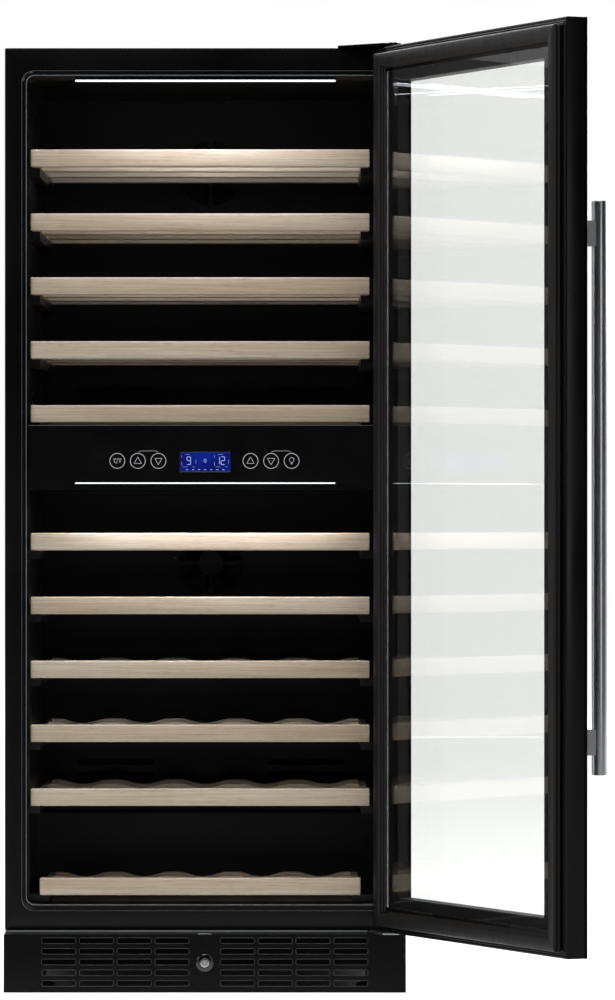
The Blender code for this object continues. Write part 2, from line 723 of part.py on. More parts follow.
def add_base_and_feet():
    front, back = FRAME_DEPTH - TRAY_SHEET, CABINET_DEPTH - TRAY_PLAY
    lip = PLINTH_TOP - PLINTH_SHEET - GAP
    profile = [
        (front, TRAY_BOTTOM), (back, TRAY_BOTTOM), (back, TRAY_BOTTOM + TRAY_LIP),
        (back - TRAY_SHEET, TRAY_BOTTOM + TRAY_LIP), (back - TRAY_SHEET, TRAY_TOP),
        (front + TRAY_SHEET, TRAY_TOP), (front + TRAY_SHEET, lip), (front, lip),
    ]
    half = INNER_HALF - TRAY_PLAY
    tray = add_extrusion("base_tray", [profile], "X", -half, half, "zinc_steel")
    for place, (x, y) in foot_places().items():
        cut(tray, add_cylinder(
            f"foot_hole_{place}", (x, y, TRAY_BOTTOM), "Z", STEM_RADIUS + GAP, TRAY_LIP
        ))
        add_turned(
            f"foot_{place}",
            [(0, STEM_TOP), (STEM_RADIUS, STEM_TOP), (STEM_RADIUS, FOOT_HEIGHT + FOOT_SLOPE),
             (FOOT_RADIUS * 0.6, FOOT_HEIGHT), (FOOT_RADIUS, FOOT_HEIGHT - FOOT_SLOPE), (FOOT_RADIUS, 0),
             (0, 0)],
            (x, y, 0), "Z", "black_rubber", 16,
        )


def add_machinery():
    """Compressor, its fan and the condenser coil, all on the base tray."""
    x, y = HALF_WIDTH - COMPRESSOR_FROM_SIDE, CABINET_DEPTH - COMPRESSOR_FROM_BACK
    seat = TRAY_TOP + COMPRESSOR_SEAT
    r, h = COMPRESSOR_RADIUS, COMPRESSOR_HEIGHT
    dome = [
        (0, h), (r * 0.55, h * 0.96), (r * 0.86, h * 0.83), (r * 0.95, h * 0.62), (r, h * 0.60),
        (r, h * 0.55), (r * 0.95, h * 0.53), (r * 0.90, h * 0.13), (r * 0.55, 0), (0, 0),
    ]
    compressor = add_turned("compressor", dome, (x, y, seat), "Z", "black_enamel")
    half_x, half_y = COMPRESSOR_FOOT[0] / 2, COMPRESSOR_FOOT[1] / 2
    foot_plate = add_box(
        "compressor_foot_plate",
        (x - half_x, y - half_y, TRAY_TOP + GAP), (x + half_x, y + half_y, seat + COMPRESSOR_SEAT / 3),
    )
    unite(compressor, foot_plate)

    fan_x, fan_z = BAY_FAN_FROM_SIDE - HALF_WIDTH, TRAY_TOP + BAY_FAN_RADIUS + BAY_FAN_OVER_TRAY
    plate_front = BAY_FRONT + BRACKET_FROM_BAY
    plate_half = BAY_FAN_RADIUS + BRACKET_MARGIN
    plate = rectangle(fan_x - plate_half, fan_x + plate_half, TRAY_TOP + GAP, fan_z + plate_half)
    add_extrusion(
        "fan_bracket", [plate, *guard_openings((fan_x, fan_z), BAY_FAN_RADIUS)],
        "Y", plate_front, plate_front + BRACKET_SHEET, "zinc_steel",
    )
    fan_y = plate_front + BRACKET_SHEET + FAN_TO_PANEL + FAN_DEPTH / 2
    add_fan("condenser_fan", (fan_x, fan_y, fan_z), BAY_FAN_RADIUS, "black_liner")

    start = FOOT_INSET + FOOT_RADIUS + CONDENSER_BEHIND_STEM
    end = BAY_FRONT - CONDENSER_MARGIN
    runs = int((end - start) / TUBE_PITCH) + 1
    half = HALF_WIDTH - CONDENSER_SIDE_MARGIN
    height = (TRAY_TOP + BODY_BOTTOM) / 2
    points = []
    for run in range(runs):
        side = 1 if run % 2 == 0 else -1
        along = start + run * TUBE_PITCH
        points.append((-side * half, along, height))
        points.append((side * half, along, height))
        if run < runs - 1:
            for i in range(1, 6):
                angle = math.radians(-90 + 30 * i)
                points.append((
                    side * (half + TUBE_PITCH / 2 * math.cos(angle)),
                    along + TUBE_PITCH / 2 * (1 + math.sin(angle)), height,
                ))
    add_tube("condenser_coil", points, TUBE_RADIUS, "copper")


def add_bay_cover():
    low, high = TRAY_BOTTOM + COVER_OVER_TRAY, BAY_TOP - GAP
    inlet_x, inlet_z = INLET_FROM_SIDE - HALF_WIDTH, low + INLET_OVER_COVER
    slots = [
        slot_outline(x, low + COVER_SLOT_LOWEST + COVER_SLOT_PITCH * row, COVER_SLOT_LENGTH)
        for x in COVER_SLOT_COLUMNS for row in range(COVER_SLOT_ROWS)
    ]
    half_w, half_h = INLET_WIDTH / 2, INLET_HEIGHT / 2
    hole = rectangle(inlet_x - half_w, inlet_x + half_w, inlet_z - half_h, inlet_z + half_h)
    add_extrusion(
        "bay_cover", [rectangle(-HALF_WIDTH, HALF_WIDTH, low, high), hole, *slots],
        "Y", CABINET_DEPTH - SHEET, CABINET_DEPTH, "zinc_steel",
    )
    half_w, half_h = half_w - GAP, half_h - GAP
    back = CABINET_DEPTH + INLET_PROUD
    inlet = add_box(
        "power_inlet", (inlet_x - half_w, back - INLET_DEPTH, inlet_z - half_h),
        (inlet_x + half_w, back, inlet_z + half_h), "black_liner",
    )
    wall = INLET_WALL
    cut(inlet, add_box(
        "inlet_socket", (inlet_x - half_w + wall, back - INLET_DEPTH * 0.7, inlet_z - half_h + wall),
        (inlet_x + half_w - wall, back + wall, inlet_z + half_h - wall),
    ))


def slot_outlines():
    """Five rows of rounded slots in four columns on each side of the lock."""
    inner, outer = SLOT_CENTRE_MARGIN, HALF_WIDTH - SLOT_SIDE_MARGIN
    width = (outer - inner - (SLOT_COLUMNS - 1) * SLOT_GAP) / SLOT_COLUMNS
    outlines = []
    for column in range(SLOT_COLUMNS):
        near = inner + column * (width + SLOT_GAP)
        for row in range(SLOT_ROWS):
            low = SLOT_LOWEST + row * SLOT_PITCH
            for left, right in ((near, near + width), (-near - width, -near)):
                outlines.append(rounded_rectangle(left, right, low, low + SLOT_HEIGHT, SLOT_CORNER, 2))
    return outlines


def add_plinth_and_lock():
    front = -PLINTH_FORWARD
    back = front + PLINTH_SHEET
    lock_hole = [
        ((SLEEVE_RADIUS + GAP) * math.cos(2 * math.pi * i / ROUND),
         LOCK_HEIGHT + (SLEEVE_RADIUS + GAP) * math.sin(2 * math.pi * i / ROUND)) for i in range(ROUND)
    ]
    sheet = PLINTH_SHEET
    profile = [
        (front, 0), (FRAME_DEPTH, 0), (FRAME_DEPTH, sheet), (back, sheet), (back, PLINTH_TOP - sheet),
        (FRAME_DEPTH, PLINTH_TOP - sheet), (FRAME_DEPTH, PLINTH_TOP), (front, PLINTH_TOP),
    ]
    plinth = add_extrusion("toe_kick", [profile], "X", -HALF_WIDTH, HALF_WIDTH, "black_enamel")
    holes = [lock_hole, *slot_outlines()]
    cut(plinth, add_extrusion("toe_kick_holes", holes, "Y", front - sheet, back + sheet))
    half_bolt = BOLT_WIDTH / 2
    y0, y1 = BOLT_Y - BOLT_THICKNESS / 2, BOLT_Y + BOLT_THICKNESS / 2
    cut(plinth, add_box(
        "bolt_slot",
        (-half_bolt - GAP, y0 - GAP, PLINTH_TOP - 2 * sheet), (half_bolt + GAP, y1 + GAP, PLINTH_TOP + sheet),
    ))
    add_turned(  # flange in front of the plinth and a sleeve through it
        "lock_escutcheon",
        [(BARREL_RADIUS + GAP, FLANGE), (ESCUTCHEON_RADIUS - EASE, FLANGE),
         (ESCUTCHEON_RADIUS, FLANGE - EASE), (ESCUTCHEON_RADIUS, 0), (SLEEVE_RADIUS, 0),
         (SLEEVE_RADIUS, -SLEEVE_LENGTH), (BARREL_RADIUS + GAP, -SLEEVE_LENGTH),
         (BARREL_RADIUS + GAP, FLANGE)],
        (0, front - GAP, LOCK_HEIGHT), "Y", "black_gloss",
    )
    add_turned(
        "lock_barrel",
        [(0, BARREL_PROUD), (BARREL_RADIUS - EASE, BARREL_PROUD), (BARREL_RADIUS, BARREL_PROUD - EASE),
         (BARREL_RADIUS, -BARREL_LENGTH), (0, -BARREL_LENGTH)],
        (0, front - GAP, LOCK_HEIGHT), "Y", "brushed_steel",
    )
    bolt_low = LOCK_HEIGHT + SLEEVE_RADIUS + BOLT_OVER_SLEEVE
    add_box(
        "lock_bolt", (-half_bolt, y0, bolt_low), (half_bolt, y1, PLINTH_TOP + GAP), "brushed_steel"
    )


def hinge_outline(reach_in, taper_front):
    """Plan of a hinge plate, from its tip on the cabinet to its nose around the pin."""
    outer = HALF_WIDTH - HINGE_SIDE_INSET
    nose = PIVOT_Y - HINGE_FORWARD
    return [
        (outer - reach_in, HINGE_SEAT), (outer - reach_in, taper_front),
        (outer - HINGE_NOSE + HINGE_CHAMFER, nose), (outer - HINGE_CHAMFER, nose),
        (outer, nose + HINGE_CHAMFER), (outer, HINGE_SEAT),
    ]


def add_hinges():
    low, high = HINGE_PLATE_LOW, HINGE_PLATE_HIGH
    plates = (
        ("lower_hinge", hinge_outline(LOWER_HINGE_REACH, LOWER_HINGE_SHOULDER), low),
        ("upper_hinge", hinge_outline(UPPER_HINGE_REACH, UPPER_HINGE_SHOULDER), high),
    )
    for name, outline, bottom in plates:
        plate = add_extrusion(name, [outline], "Z", bottom, bottom + HINGE_PLATE, "zinc_steel")
        cut(plate, add_cylinder(
            f"{name}_pin_hole", (PIVOT_X, PIVOT_Y, bottom), "Z", PIN_RADIUS + PIN_PLAY, 4 * HINGE_PLATE
        ))
    r, head = PIN_RADIUS, PIN_HEAD_RADIUS
    collar = low + HINGE_PLATE + GAP
    washer = DOOR_LOW - GAP - collar
    add_turned(
        "lower_hinge_pin",
        [(0, DOOR_LOW + PIN_REACH), (r - EASE, DOOR_LOW + PIN_REACH), (r, DOOR_LOW + PIN_REACH - EASE),
         (r, collar + washer), (head, collar + washer), (head, collar), (r, collar), (r, low), (0, low)],
        (PIVOT_X, PIVOT_Y, 0), "Z", "brushed_steel",
    )
    cap = high + HINGE_PLATE + GAP
    add_turned(
        "upper_hinge_pin",
        [(0, cap + PIN_HEAD), (head, cap + PIN_HEAD), (head, cap), (r, cap),
         (r, DOOR_HIGH - PIN_REACH + EASE), (r - EASE, DOOR_HIGH - PIN_REACH), (0, DOOR_HIGH - PIN_REACH)],
        (PIVOT_X, PIVOT_Y, 0), "Z", "brushed_steel",
    )


def door_ring(name, side_outer, end_outer, width_side, width_end, front, back, finish):
    """A rectangular ring whose sides stand in from the door's edges by the given margins."""
    left, right = -DOOR_HALF - PIVOT_X, DOOR_HALF - PIVOT_X
    outer = rectangle(left + side_outer, right - side_outer, DOOR_LOW + end_outer, DOOR_HIGH - end_outer)
    side, end = side_outer + width_side, end_outer + width_end
    inner = rectangle(left + side, right - side, DOOR_LOW + end, DOOR_HIGH - end)
    return add_extrusion(name, [outer, inner], "Y", front, back, finish)


def add_door():
    """Every piece is drawn as on a closed door with the hinge axis at x = y = 0."""
    hinge = bpy.data.objects.new("door_hinge_axis", None)
    bpy.data.collections["wine_cooler"].objects.link(hinge)
    hinge.location = (PIVOT_X, PIVOT_Y, 0)
    hinge.rotation_euler = (0, 0, math.radians(DOOR_REST_ANGLE))

    left, right = -DOOR_HALF - PIVOT_X, DOOR_HALF - PIVOT_X
    face, back = -PIVOT_BEHIND_FACE, DOOR_BACK
    frame_front = face + PANE + GAP
    pieces = [add_box("outer_glass", (left, face, DOOR_LOW), (right, face + PANE, DOOR_HIGH), "clear_glass")]

    frame = door_ring("door_frame", 0, 0, DOOR_RAIL, DOOR_RAIL, frame_front, back, "black_enamel")
    depth = PIN_REACH + PIN_HOLE_OVER
    holes = [
        add_cylinder(f"door_pin_hole_{name}", (0, 0, z), "Z", PIN_RADIUS + PIN_PLAY, 2 * depth)
        for name, z in (("low", DOOR_LOW), ("high", DOOR_HIGH))
    ]
    keeper_y = BOLT_Y - PIVOT_Y
    half_bolt, half_thick = BOLT_WIDTH / 2 + BOLT_PLAY, BOLT_THICKNESS / 2 + BOLT_PLAY
    holes.append(add_box(
        "door_keeper_pocket",
        (-PIVOT_X - half_bolt, keeper_y - half_thick, DOOR_LOW - BOLT_TRAVEL),
        (-PIVOT_X + half_bolt, keeper_y + half_thick, DOOR_LOW + BOLT_TRAVEL),
    ))
    pieces += [cut(frame, *holes), *holes]

    clear = DOOR_RAIL + GAP
    pieces.append(add_box(
        "inner_glass",
        (left + clear, back - GAP - PANE, DOOR_LOW + clear), (right - clear, back - GAP, DOOR_HIGH - clear),
        "clear_glass",
    ))
    pieces.append(door_ring(
        "glazing_spacer", WINDOW_SIDE - SPACER_WIDTH, WINDOW_END - SPACER_WIDTH, SPACER_WIDTH, SPACER_WIDTH,
        frame_front, back - 2 * GAP - PANE, "aluminium",
    ))
    pieces.append(door_ring(
        "door_gasket", GASKET_SIDE_MARGIN, GASKET_END_MARGIN, GASKET_WIDTH, GASKET_WIDTH,
        back + GAP, back + GAP + GASKET_DEPTH, "black_rubber",
    ))

    bar_x, bar_y = left + HANDLE_INSET, face - HANDLE_STANDOFF
    pieces.append(add_cylinder(
        "handle_bar", (bar_x, bar_y, DOOR_MIDDLE), "Z", HANDLE_RADIUS, HANDLE_LENGTH, "brushed_steel"
    ))
    saddle = add_cylinder(
        "handle_saddle", (bar_x, bar_y, DOOR_MIDDLE), "Z", HANDLE_RADIUS + GAP, HANDLE_LENGTH + 0.010
    )
    pieces.append(saddle)
    for name, sign in (("upper", 1), ("lower", -1)):
        z = DOOR_MIDDLE + sign * (HANDLE_LENGTH / 2 - POST_FROM_END)
        post = add_box(
            f"{name}_handle_post",
            (bar_x - POST_WIDTH / 2, bar_y + HANDLE_RADIUS * 0.5, z - POST_HEIGHT / 2),
            (bar_x + POST_WIDTH / 2, face - GAP, z + POST_HEIGHT / 2), "brushed_steel",
        )
        pieces.append(cut(post, saddle))
    for piece in pieces:
        piece.parent = hinge


def build():
    clear_scene()
    new_collection("wine_cooler")
    new_collection("cutters")
    add_cabinet_panels()
    add_liner_and_foam()
    add_divider_and_controls()
    add_shelves()
    add_rails()
    add_air_ducts()
    add_base_and_feet()
    add_machinery()
    add_bay_cover()
    add_plinth_and_lock()
    add_hinges()
    add_door()


build()
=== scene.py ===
import json
import math

import bmesh
import bpy
import numpy as np
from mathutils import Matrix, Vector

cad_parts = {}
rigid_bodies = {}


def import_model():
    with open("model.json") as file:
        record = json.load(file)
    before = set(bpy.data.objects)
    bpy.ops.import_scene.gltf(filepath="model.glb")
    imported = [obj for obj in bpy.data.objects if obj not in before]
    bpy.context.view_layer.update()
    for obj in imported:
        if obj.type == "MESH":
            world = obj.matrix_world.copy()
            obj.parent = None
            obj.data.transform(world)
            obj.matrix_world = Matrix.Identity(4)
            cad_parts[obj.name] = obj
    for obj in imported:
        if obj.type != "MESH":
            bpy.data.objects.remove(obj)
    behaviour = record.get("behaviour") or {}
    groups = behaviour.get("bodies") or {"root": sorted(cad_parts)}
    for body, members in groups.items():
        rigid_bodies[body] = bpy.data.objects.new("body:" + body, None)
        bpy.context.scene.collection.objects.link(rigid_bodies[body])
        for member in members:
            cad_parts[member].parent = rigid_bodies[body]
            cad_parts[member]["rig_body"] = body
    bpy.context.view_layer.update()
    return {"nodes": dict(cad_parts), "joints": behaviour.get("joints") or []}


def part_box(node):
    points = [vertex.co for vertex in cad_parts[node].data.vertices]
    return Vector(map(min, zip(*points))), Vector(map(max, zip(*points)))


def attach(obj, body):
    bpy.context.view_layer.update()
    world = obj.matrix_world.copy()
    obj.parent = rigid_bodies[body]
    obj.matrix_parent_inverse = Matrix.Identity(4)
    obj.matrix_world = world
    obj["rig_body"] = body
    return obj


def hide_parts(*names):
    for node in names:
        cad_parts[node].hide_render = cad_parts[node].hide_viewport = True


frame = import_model()
mm = 0.001
print("frame loaded")


# camera, lights and the pale room

view = {
    "place": (0.152, -8.25, 0.705),
    "lens": 200,
    "shiftUp": 0.016,
    "keyPower": 95,
    "fillPower": 125,
    "handlePower": 34,
    "topPower": 120,
    "backPower": 130,
    "ambient": 0.03,
    "paperGlow": 0.95,
    "frontFloor": 0.06,
    "upperLedPower": 1.5,
    "lowerLedPower": 0.9,
}


def quarterTurn(count):
    # evenly spaced angles from 0 to a right angle
    return np.linspace(0, math.pi / 2, count)


def linear(hexColour):
    # the sRGB curve undone: a low straight part, and above it a power of 2.4
    parts = np.array([int(hexColour[i:i + 2], 16) for i in (1, 3, 5)]) / 255
    return (*np.where(parts <= 0.04045, parts / 12.92, ((parts + 0.055) / 1.055) ** 2.4).tolist(), 1.0)


def outputOf(source):
    # a node stands for its first output
    return source.outputs[0] if isinstance(source, bpy.types.Node) else source


def addNode(tree, kind, settings=None, links=None):
    node = tree.nodes.new(kind)
    for key, value in (settings or {}).items():
        if key == "stops":
            ramp = node.color_ramp
            for stop, (place, colour) in zip((ramp.elements[0], ramp.elements[-1]), (value[0], value[-1])):
                stop.position, stop.color = place, colour
            for place, colour in value[1:-1]:
                ramp.elements.new(place).color = colour
        elif isinstance(key, int) or key in node.inputs:
            node.inputs[key].default_value = value
        else:
            setattr(node, key, value)
    for key, source in (links or {}).items():
        tree.links.new(outputOf(source), node.inputs[key])
    return node


def addLight(name, place, target, power, size, colour="#ffffff"):
    data = bpy.data.lights.new(name, "AREA")
    data.energy = power
    data.color = linear(colour)[:3]
    data.shape = "RECTANGLE"
    data.size, data.size_y = size
    lamp = bpy.data.objects.new(name, data)
    bpy.context.scene.collection.objects.link(lamp)
    lamp.location = place
    lamp.visible_camera = False
    aim = np.array(target, float) - np.array(place, float)
    aim /= np.linalg.norm(aim)
    lamp.rotation_euler = (math.acos(-aim[2]), 0, math.atan2(aim[1], aim[0]) - math.pi / 2)
    return lamp


def buildRoom():
    scene = bpy.context.scene
    camera = bpy.data.objects.new("camera", bpy.data.cameras.new("camera"))
    scene.collection.objects.link(camera)
    camera.location = view["place"]
    camera.rotation_euler = (math.radians(90), 0, 0)
    camera.data.lens = view["lens"]
    camera.data.sensor_width = 36
    camera.data.shift_y = view["shiftUp"]
    camera.data.clip_end = 60
    scene.camera = camera
    scene.view_settings.view_transform = "Standard"

    # the camera sees a white room, and the light that the room itself gives stays low
    world = bpy.data.worlds.new("softRoom")
    scene.world = world
    world.use_nodes = True
    tree = world.node_tree
    background = tree.nodes["Background"]
    background.inputs["Color"].default_value = linear("#ffffff")
    background.inputs["Strength"].default_value = view["ambient"]
    seen = addNode(tree, "ShaderNodeBackground", {"Color": linear("#ffffff"), "Strength": 1.0})
    path = addNode(tree, "ShaderNodeLightPath")
    unbounced = addNode(tree, "ShaderNodeMath", {"operation": "LESS_THAN", 1: 0.5},
                        {0: path.outputs["Diffuse Depth"]})
    through = addNode(tree, "ShaderNodeMath", {"operation": "MULTIPLY"},
                      {0: path.outputs["Is Transmission Ray"], 1: unbounced})
    direct = addNode(tree, "ShaderNodeMath", {"operation": "MAXIMUM"},
                     {0: path.outputs["Is Camera Ray"], 1: through})
    mix = addNode(tree, "ShaderNodeMixShader", {},
                  {0: direct, 1: background, 2: seen})
    tree.links.new(mix.outputs[0], tree.nodes["World Output"].inputs["Surface"])

    for name, place, target, power, size in (
        ("keySoftbox", (-4.8, -4.6, 2.6), (0, 0.1, 0.8), "keyPower", (2.0, 2.6)),
        ("frontTopSoftbox", (-0.8, -4.2, 5.4), (0.0, 0.1, 0.6), "fillPower", (2.6, 1.6)),
        ("handleStrip", (3.2, -5.6, 0.9), (0.6, -0.5, 0.75), "handlePower", (1.5, 3.2)),
        ("topSoftbox", (0.2, -0.2, 4.4), (0.1, 0.0, 0.6), "topPower", (3.2, 3.2)),
        ("backLeftSoftbox", (-2.7, 3.7, 4.8), (0.1, 0.3, 0.9), "backPower", (2.4, 2.4)),
        ("backRightSoftbox", (4.6, 3.2, 2.6), (0.3, 0.1, 0.8), "backPower", (1.2, 2.8)),
    ):
        addLight(name, place, target, view[power], size)


def stagePiece(name, y, z, half):
    # the profile (y, z) drawn across from one side to the other
    points = np.stack([np.tile([[-half], [half]], (1, len(y))), np.tile(y, (2, 1)), np.tile(z, (2, 1))], -1)
    mesh = bpy.data.meshes.new(name)
    mesh.from_pydata(points.reshape(-1, 3).tolist(), [], gridFaces(2, len(y), False, False).tolist())
    mesh.shade_smooth()
    stage = bpy.data.objects.new(name, mesh)
    bpy.context.scene.collection.objects.link(stage)
    return stage


def buildBackdrop():
    # a wide flat floor, white to the eye, and behind it a curved card that only glass and gloss pick up
    floor = stagePiece("floor", [-40.0, 40.0], [0.0, 0.0], 40.0)
    # the card is a quarter circle up and a wall: y is back + r sin t and the height is r (1 - cos t)
    radius, back = 3.0, 9.5
    turn = quarterTurn(24)
    card = stagePiece("whiteCard", np.concatenate([back + radius * np.sin(turn), [back + radius]]),
                      np.concatenate([0.002 + radius * (1 - np.cos(turn)), [12.0]]), 16.0)
    card.visible_camera = False
    # matt paper that glows enough to read as white, except for a painted contact shadow: no glow on the patch under
    # the appliance
    paper, tree, shader = newMaterial("paleFloorPaper", "#b9b9b8", 0.95, Specular_IOR_Level=0.0)
    places = addNode(tree, "ShaderNodeTexCoord")
    apart = addNode(tree, "ShaderNodeSeparateXYZ", {}, {0: places.outputs["Object"]})
    larger, product = {"operation": "MAXIMUM"}, {"operation": "MULTIPLY"}
    # the mask is nought under the appliance and one beyond it: a painted shadow
    across = addNode(tree, "ShaderNodeMath", {"operation": "ABSOLUTE"}, {0: apart})
    beyondPaintedShadow = addNode(tree, "ShaderNodeMapRange", {"From Min": 0.26, "From Max": 0.31}, {"Value": across})
    for start, end in ((0.0, -0.05), (0.56, 0.70)):
        limits = {"From Min": start, "From Max": end}
        beyond = addNode(tree, "ShaderNodeMapRange", limits, {"Value": apart.outputs[1]})
        beyondPaintedShadow = addNode(tree, "ShaderNodeMath", larger, {0: beyondPaintedShadow, 1: beyond})
    # the floor in front lights and mirrors little, as if flagged off, but looks as white as the rest
    limits = {"From Min": -0.6, "From Max": -0.12, "To Min": view["frontFloor"], "To Max": view["paperGlow"]}
    nearer = addNode(tree, "ShaderNodeMapRange", limits, {"Value": apart.outputs[1]})
    path = addNode(tree, "ShaderNodeLightPath")
    direct = addNode(tree, "ShaderNodeMath", larger,
                     {0: path.outputs["Is Camera Ray"], 1: path.outputs["Is Transmission Ray"]})
    looked = addNode(tree, "ShaderNodeMath", {**product, 1: view["paperGlow"]}, {0: direct})
    lit = addNode(tree, "ShaderNodeMath", larger, {0: nearer, 1: looked})
    glow = addNode(tree, "ShaderNodeMath", product, {0: beyondPaintedShadow, 1: lit})
    shader.inputs["Emission Color"].default_value = linear("#ffffff")
    connect(tree, shader, Emission_Strength=glow)
    floor.data.materials.append(paper)
    white, tree, shader = newMaterial("whiteCardPaper", "#b9b9b8", 0.95, Specular_IOR_Level=0.0,
                                      Emission_Strength=view["paperGlow"])
    shader.inputs["Emission Color"].default_value = linear("#ffffff")
    card.data.materials.append(white)


# materials, each started from the real finish

def newMaterial(name, colour, roughness, metallic=0.0, **sockets):
    material = bpy.data.materials.new(name)
    material.use_nodes = True
    tree = material.node_tree
    shader = tree.nodes["Principled BSDF"]
    shader.inputs["Base Color"].default_value = linear(colour)
    shader.inputs["Roughness"].default_value = roughness
    shader.inputs["Metallic"].default_value = metallic
    for key, value in sockets.items():
        shader.inputs[key.replace("_", " ")].default_value = value
    return material, tree, shader


def connect(tree, shader, **sockets):
    for key, source in sockets.items():
        tree.links.new(outputOf(source), shader.inputs[key.replace("_", " ")])


def pattern(tree, sizes, settings, stops=None, relief=None, spread=None, kind="ShaderNodeTexNoise"):
    # a texture on Object coordinates, each axis divided by a real size in millimetres, and what is read from it
    places = addNode(tree, "ShaderNodeTexCoord")
    scaled = addNode(tree, "ShaderNodeMapping", {"Scale": tuple(1 / (size * mm) for size in sizes)},
                     {"Vector": places.outputs["Object"]})
    texture = addNode(tree, kind, {"Scale": 1.0, **settings}, {"Vector": scaled})
    read = {"texture": texture}
    if stops:
        ramp = addNode(tree, "ShaderNodeValToRGB", {"stops": [(place, linear(colour)) for place, colour in stops]},
                       {"Fac": texture})
        read["colour"] = ramp
    if spread:
        limits = {"From Min": 0.3, "From Max": 0.7, "To Min": spread[0], "To Max": spread[1]}
        read["spread"] = addNode(tree, "ShaderNodeMapRange", limits, {"Value": texture})
    if relief:
        raised = addNode(tree, "ShaderNodeBump", {"Strength": relief[0], "Distance": relief[1] * mm},
                         {"Height": texture})
        read["relief"] = raised
    return read


def moulded(name, dark, light, rough, grain, depth, specular=0.32):
    # a baked or moulded skin: fine orange peel breaks up the gloss, broad patches shift the tone a little
    material, tree, shader = newMaterial(name, light, rough, Specular_IOR_Level=specular)
    peel = pattern(tree, (grain,) * 3, {"Detail": 2.0}, relief=(0.25, depth))
    broad = pattern(tree, (180,) * 3, {"Detail": 2.0}, [(0.3, dark), (0.7, light)],
                    spread=(rough - 0.05, rough + 0.06))
    connect(tree, shader, Base_Color=broad["colour"], Roughness=broad["spread"], Normal=peel["relief"])
    return material


# powder coated sheet steel: 1.2 mm orange peel, drawn a little coarse so that it shows
coatedSteel = moulded("powderCoatedSteel", "#040404", "#060607", 0.26, 1.6, 0.04, 0.1)
# the same coat on the plinth's pressed slot rims, drawn far paler than the sheet: a painted highlight along the lit
# edges, with a smoother gloss
rimPaintedHighlight = moulded("coatedPressedRim", "#2b2b2d", "#363638", 0.3, 1.2, 0.02, 0.6)
# satin ABS, injection moulded: fine spark texture
satinAbs = moulded("mouldedSatinAbs", "#040404", "#070708", 0.25, 1.1, 0.02, 0.18)
# vacuum formed polystyrene: soft gloss, slow ripples from the forming
formedLiner = moulded("vacuumFormedPolystyrene", "#080808", "#0d0d0e", 0.32, 22.0, 0.35)
fanPlastic = moulded("mouldedPolypropylene", "#0e0e0f", "#141415", 0.5, 1.4, 0.05)
footRubber = moulded("mouldedFootRubber", "#101010", "#181819", 0.72, 0.9, 0.08)
compressorEnamel = moulded("dippedBlackEnamel", "#08080a", "#0e0e10", 0.22, 9.0, 0.12)
butylSeal = moulded("butylEdgeSeal", "#030303", "#070707", 0.6, 3.0, 0.1, 0.2)


def makeGasketVinyl():
    # extruded PVC: matt, lighter where the lips have been rubbed
    material, tree, shader = newMaterial("extrudedGasketVinyl", "#0b0b0c", 0.46, Specular_IOR_Level=0.3)
    streaks = pattern(tree, (9, 9, 260), {"Detail": 3.0}, [(0.3, "#080808"), (0.7, "#0f0f11")],
                      spread=(0.4, 0.55))
    fine = pattern(tree, (1.4,) * 3, {"Detail": 2.0}, relief=(0.2, 0.04))
    connect(tree, shader, Base_Color=streaks["colour"], Roughness=streaks["spread"], Normal=fine["relief"])
    return material


def makeBlackGloss(name, rough, coat, specular):
    # paint or enamel fired behind a clear face: deep black under a wet looking gloss, with a slight haze in it
    material, tree, shader = newMaterial(name, "#030304", rough, Coat_Weight=coat, Coat_Roughness=0.04,
                                         Specular_IOR_Level=specular)
    haze = pattern(tree, (60,) * 3, {"Detail": 3.0}, spread=(rough - 0.03, rough + 0.05))
    connect(tree, shader, Roughness=haze["spread"])
    return material


def makeBeech(name, sizes, board):
    # steamed beech, planed and lacquered: fine straight grain, short darker ray flecks, tone that shifts by board
    material, tree, shader = newMaterial(name, "#c4b19b", 0.42, Coat_Weight=0.12, Coat_Roughness=0.3)
    grain = pattern(tree, sizes, {"Detail": 5.0, "Roughness": 0.6, "Distortion": 0.4}, [
        (0.28, "#aa9a87"), (0.45, "#b8aa98"), (0.6, "#c4b8a7"), (0.78, "#cdc3b4"),
    ], (0.35, 0.12), (0.5, 0.36))
    flecks = pattern(tree, [s * f for s, f in zip(sizes, (0.16, 0.35, 0.35))], {"Detail": 1.0},
                     [(0.3, "#cdb79e"), (0.4, "#ffffff")])
    tone = pattern(tree, board, {"Detail": 1.0}, [(0.35, "#e6ddd4"), (0.65, "#ffffff")])
    whole = {"data_type": "RGBA", "blend_type": "MULTIPLY", "Factor": 1.0}
    toned = addNode(tree, "ShaderNodeMix", whole, {6: grain["colour"], 7: tone["colour"]})
    marked = addNode(tree, "ShaderNodeMix", {**whole, "Factor": 0.5}, {6: toned.outputs[2], 7: flecks["colour"]})
    connect(tree, shader, Base_Color=marked.outputs[2], Roughness=grain["spread"], Normal=grain["relief"])
    return material


def makeBrushed(name, sizes, light, dark, rough):
    # metal drawn or belt brushed: long fine scratches along the piece stretch the highlight across it
    material, tree, shader = newMaterial(name, light, rough, 1.0)
    scratches = pattern(tree, sizes, {"Detail": 4.0, "Roughness": 0.7},
                        [(0.25, dark), (0.75, light)], (0.12, 0.02), (rough - 0.06, rough + 0.1))
    connect(tree, shader, Base_Color=scratches["colour"], Roughness=scratches["spread"], Normal=scratches["relief"])
    return material


def makeGalvanised():
    # hot dipped zinc on sheet steel: spangles about 9 mm across, each with its own grey
    material, tree, shader = newMaterial("galvanisedSheet", "#9a9da1", 0.42, 1.0)
    cells = pattern(tree, (9,) * 3, {"Randomness": 0.9}, kind="ShaderNodeTexVoronoi")
    texture = cells["texture"]
    grey = addNode(tree, "ShaderNodeValToRGB", {"stops": [(0.1, linear("#7f8387")), (0.9, linear("#a6a9ac"))]},
                   {"Fac": texture.outputs["Color"]})
    dull = addNode(tree, "ShaderNodeMapRange", {"To Min": 0.34, "To Max": 0.5}, {"Value": texture.outputs["Color"]})
    connect(tree, shader, Base_Color=grey, Roughness=dull)
    return material


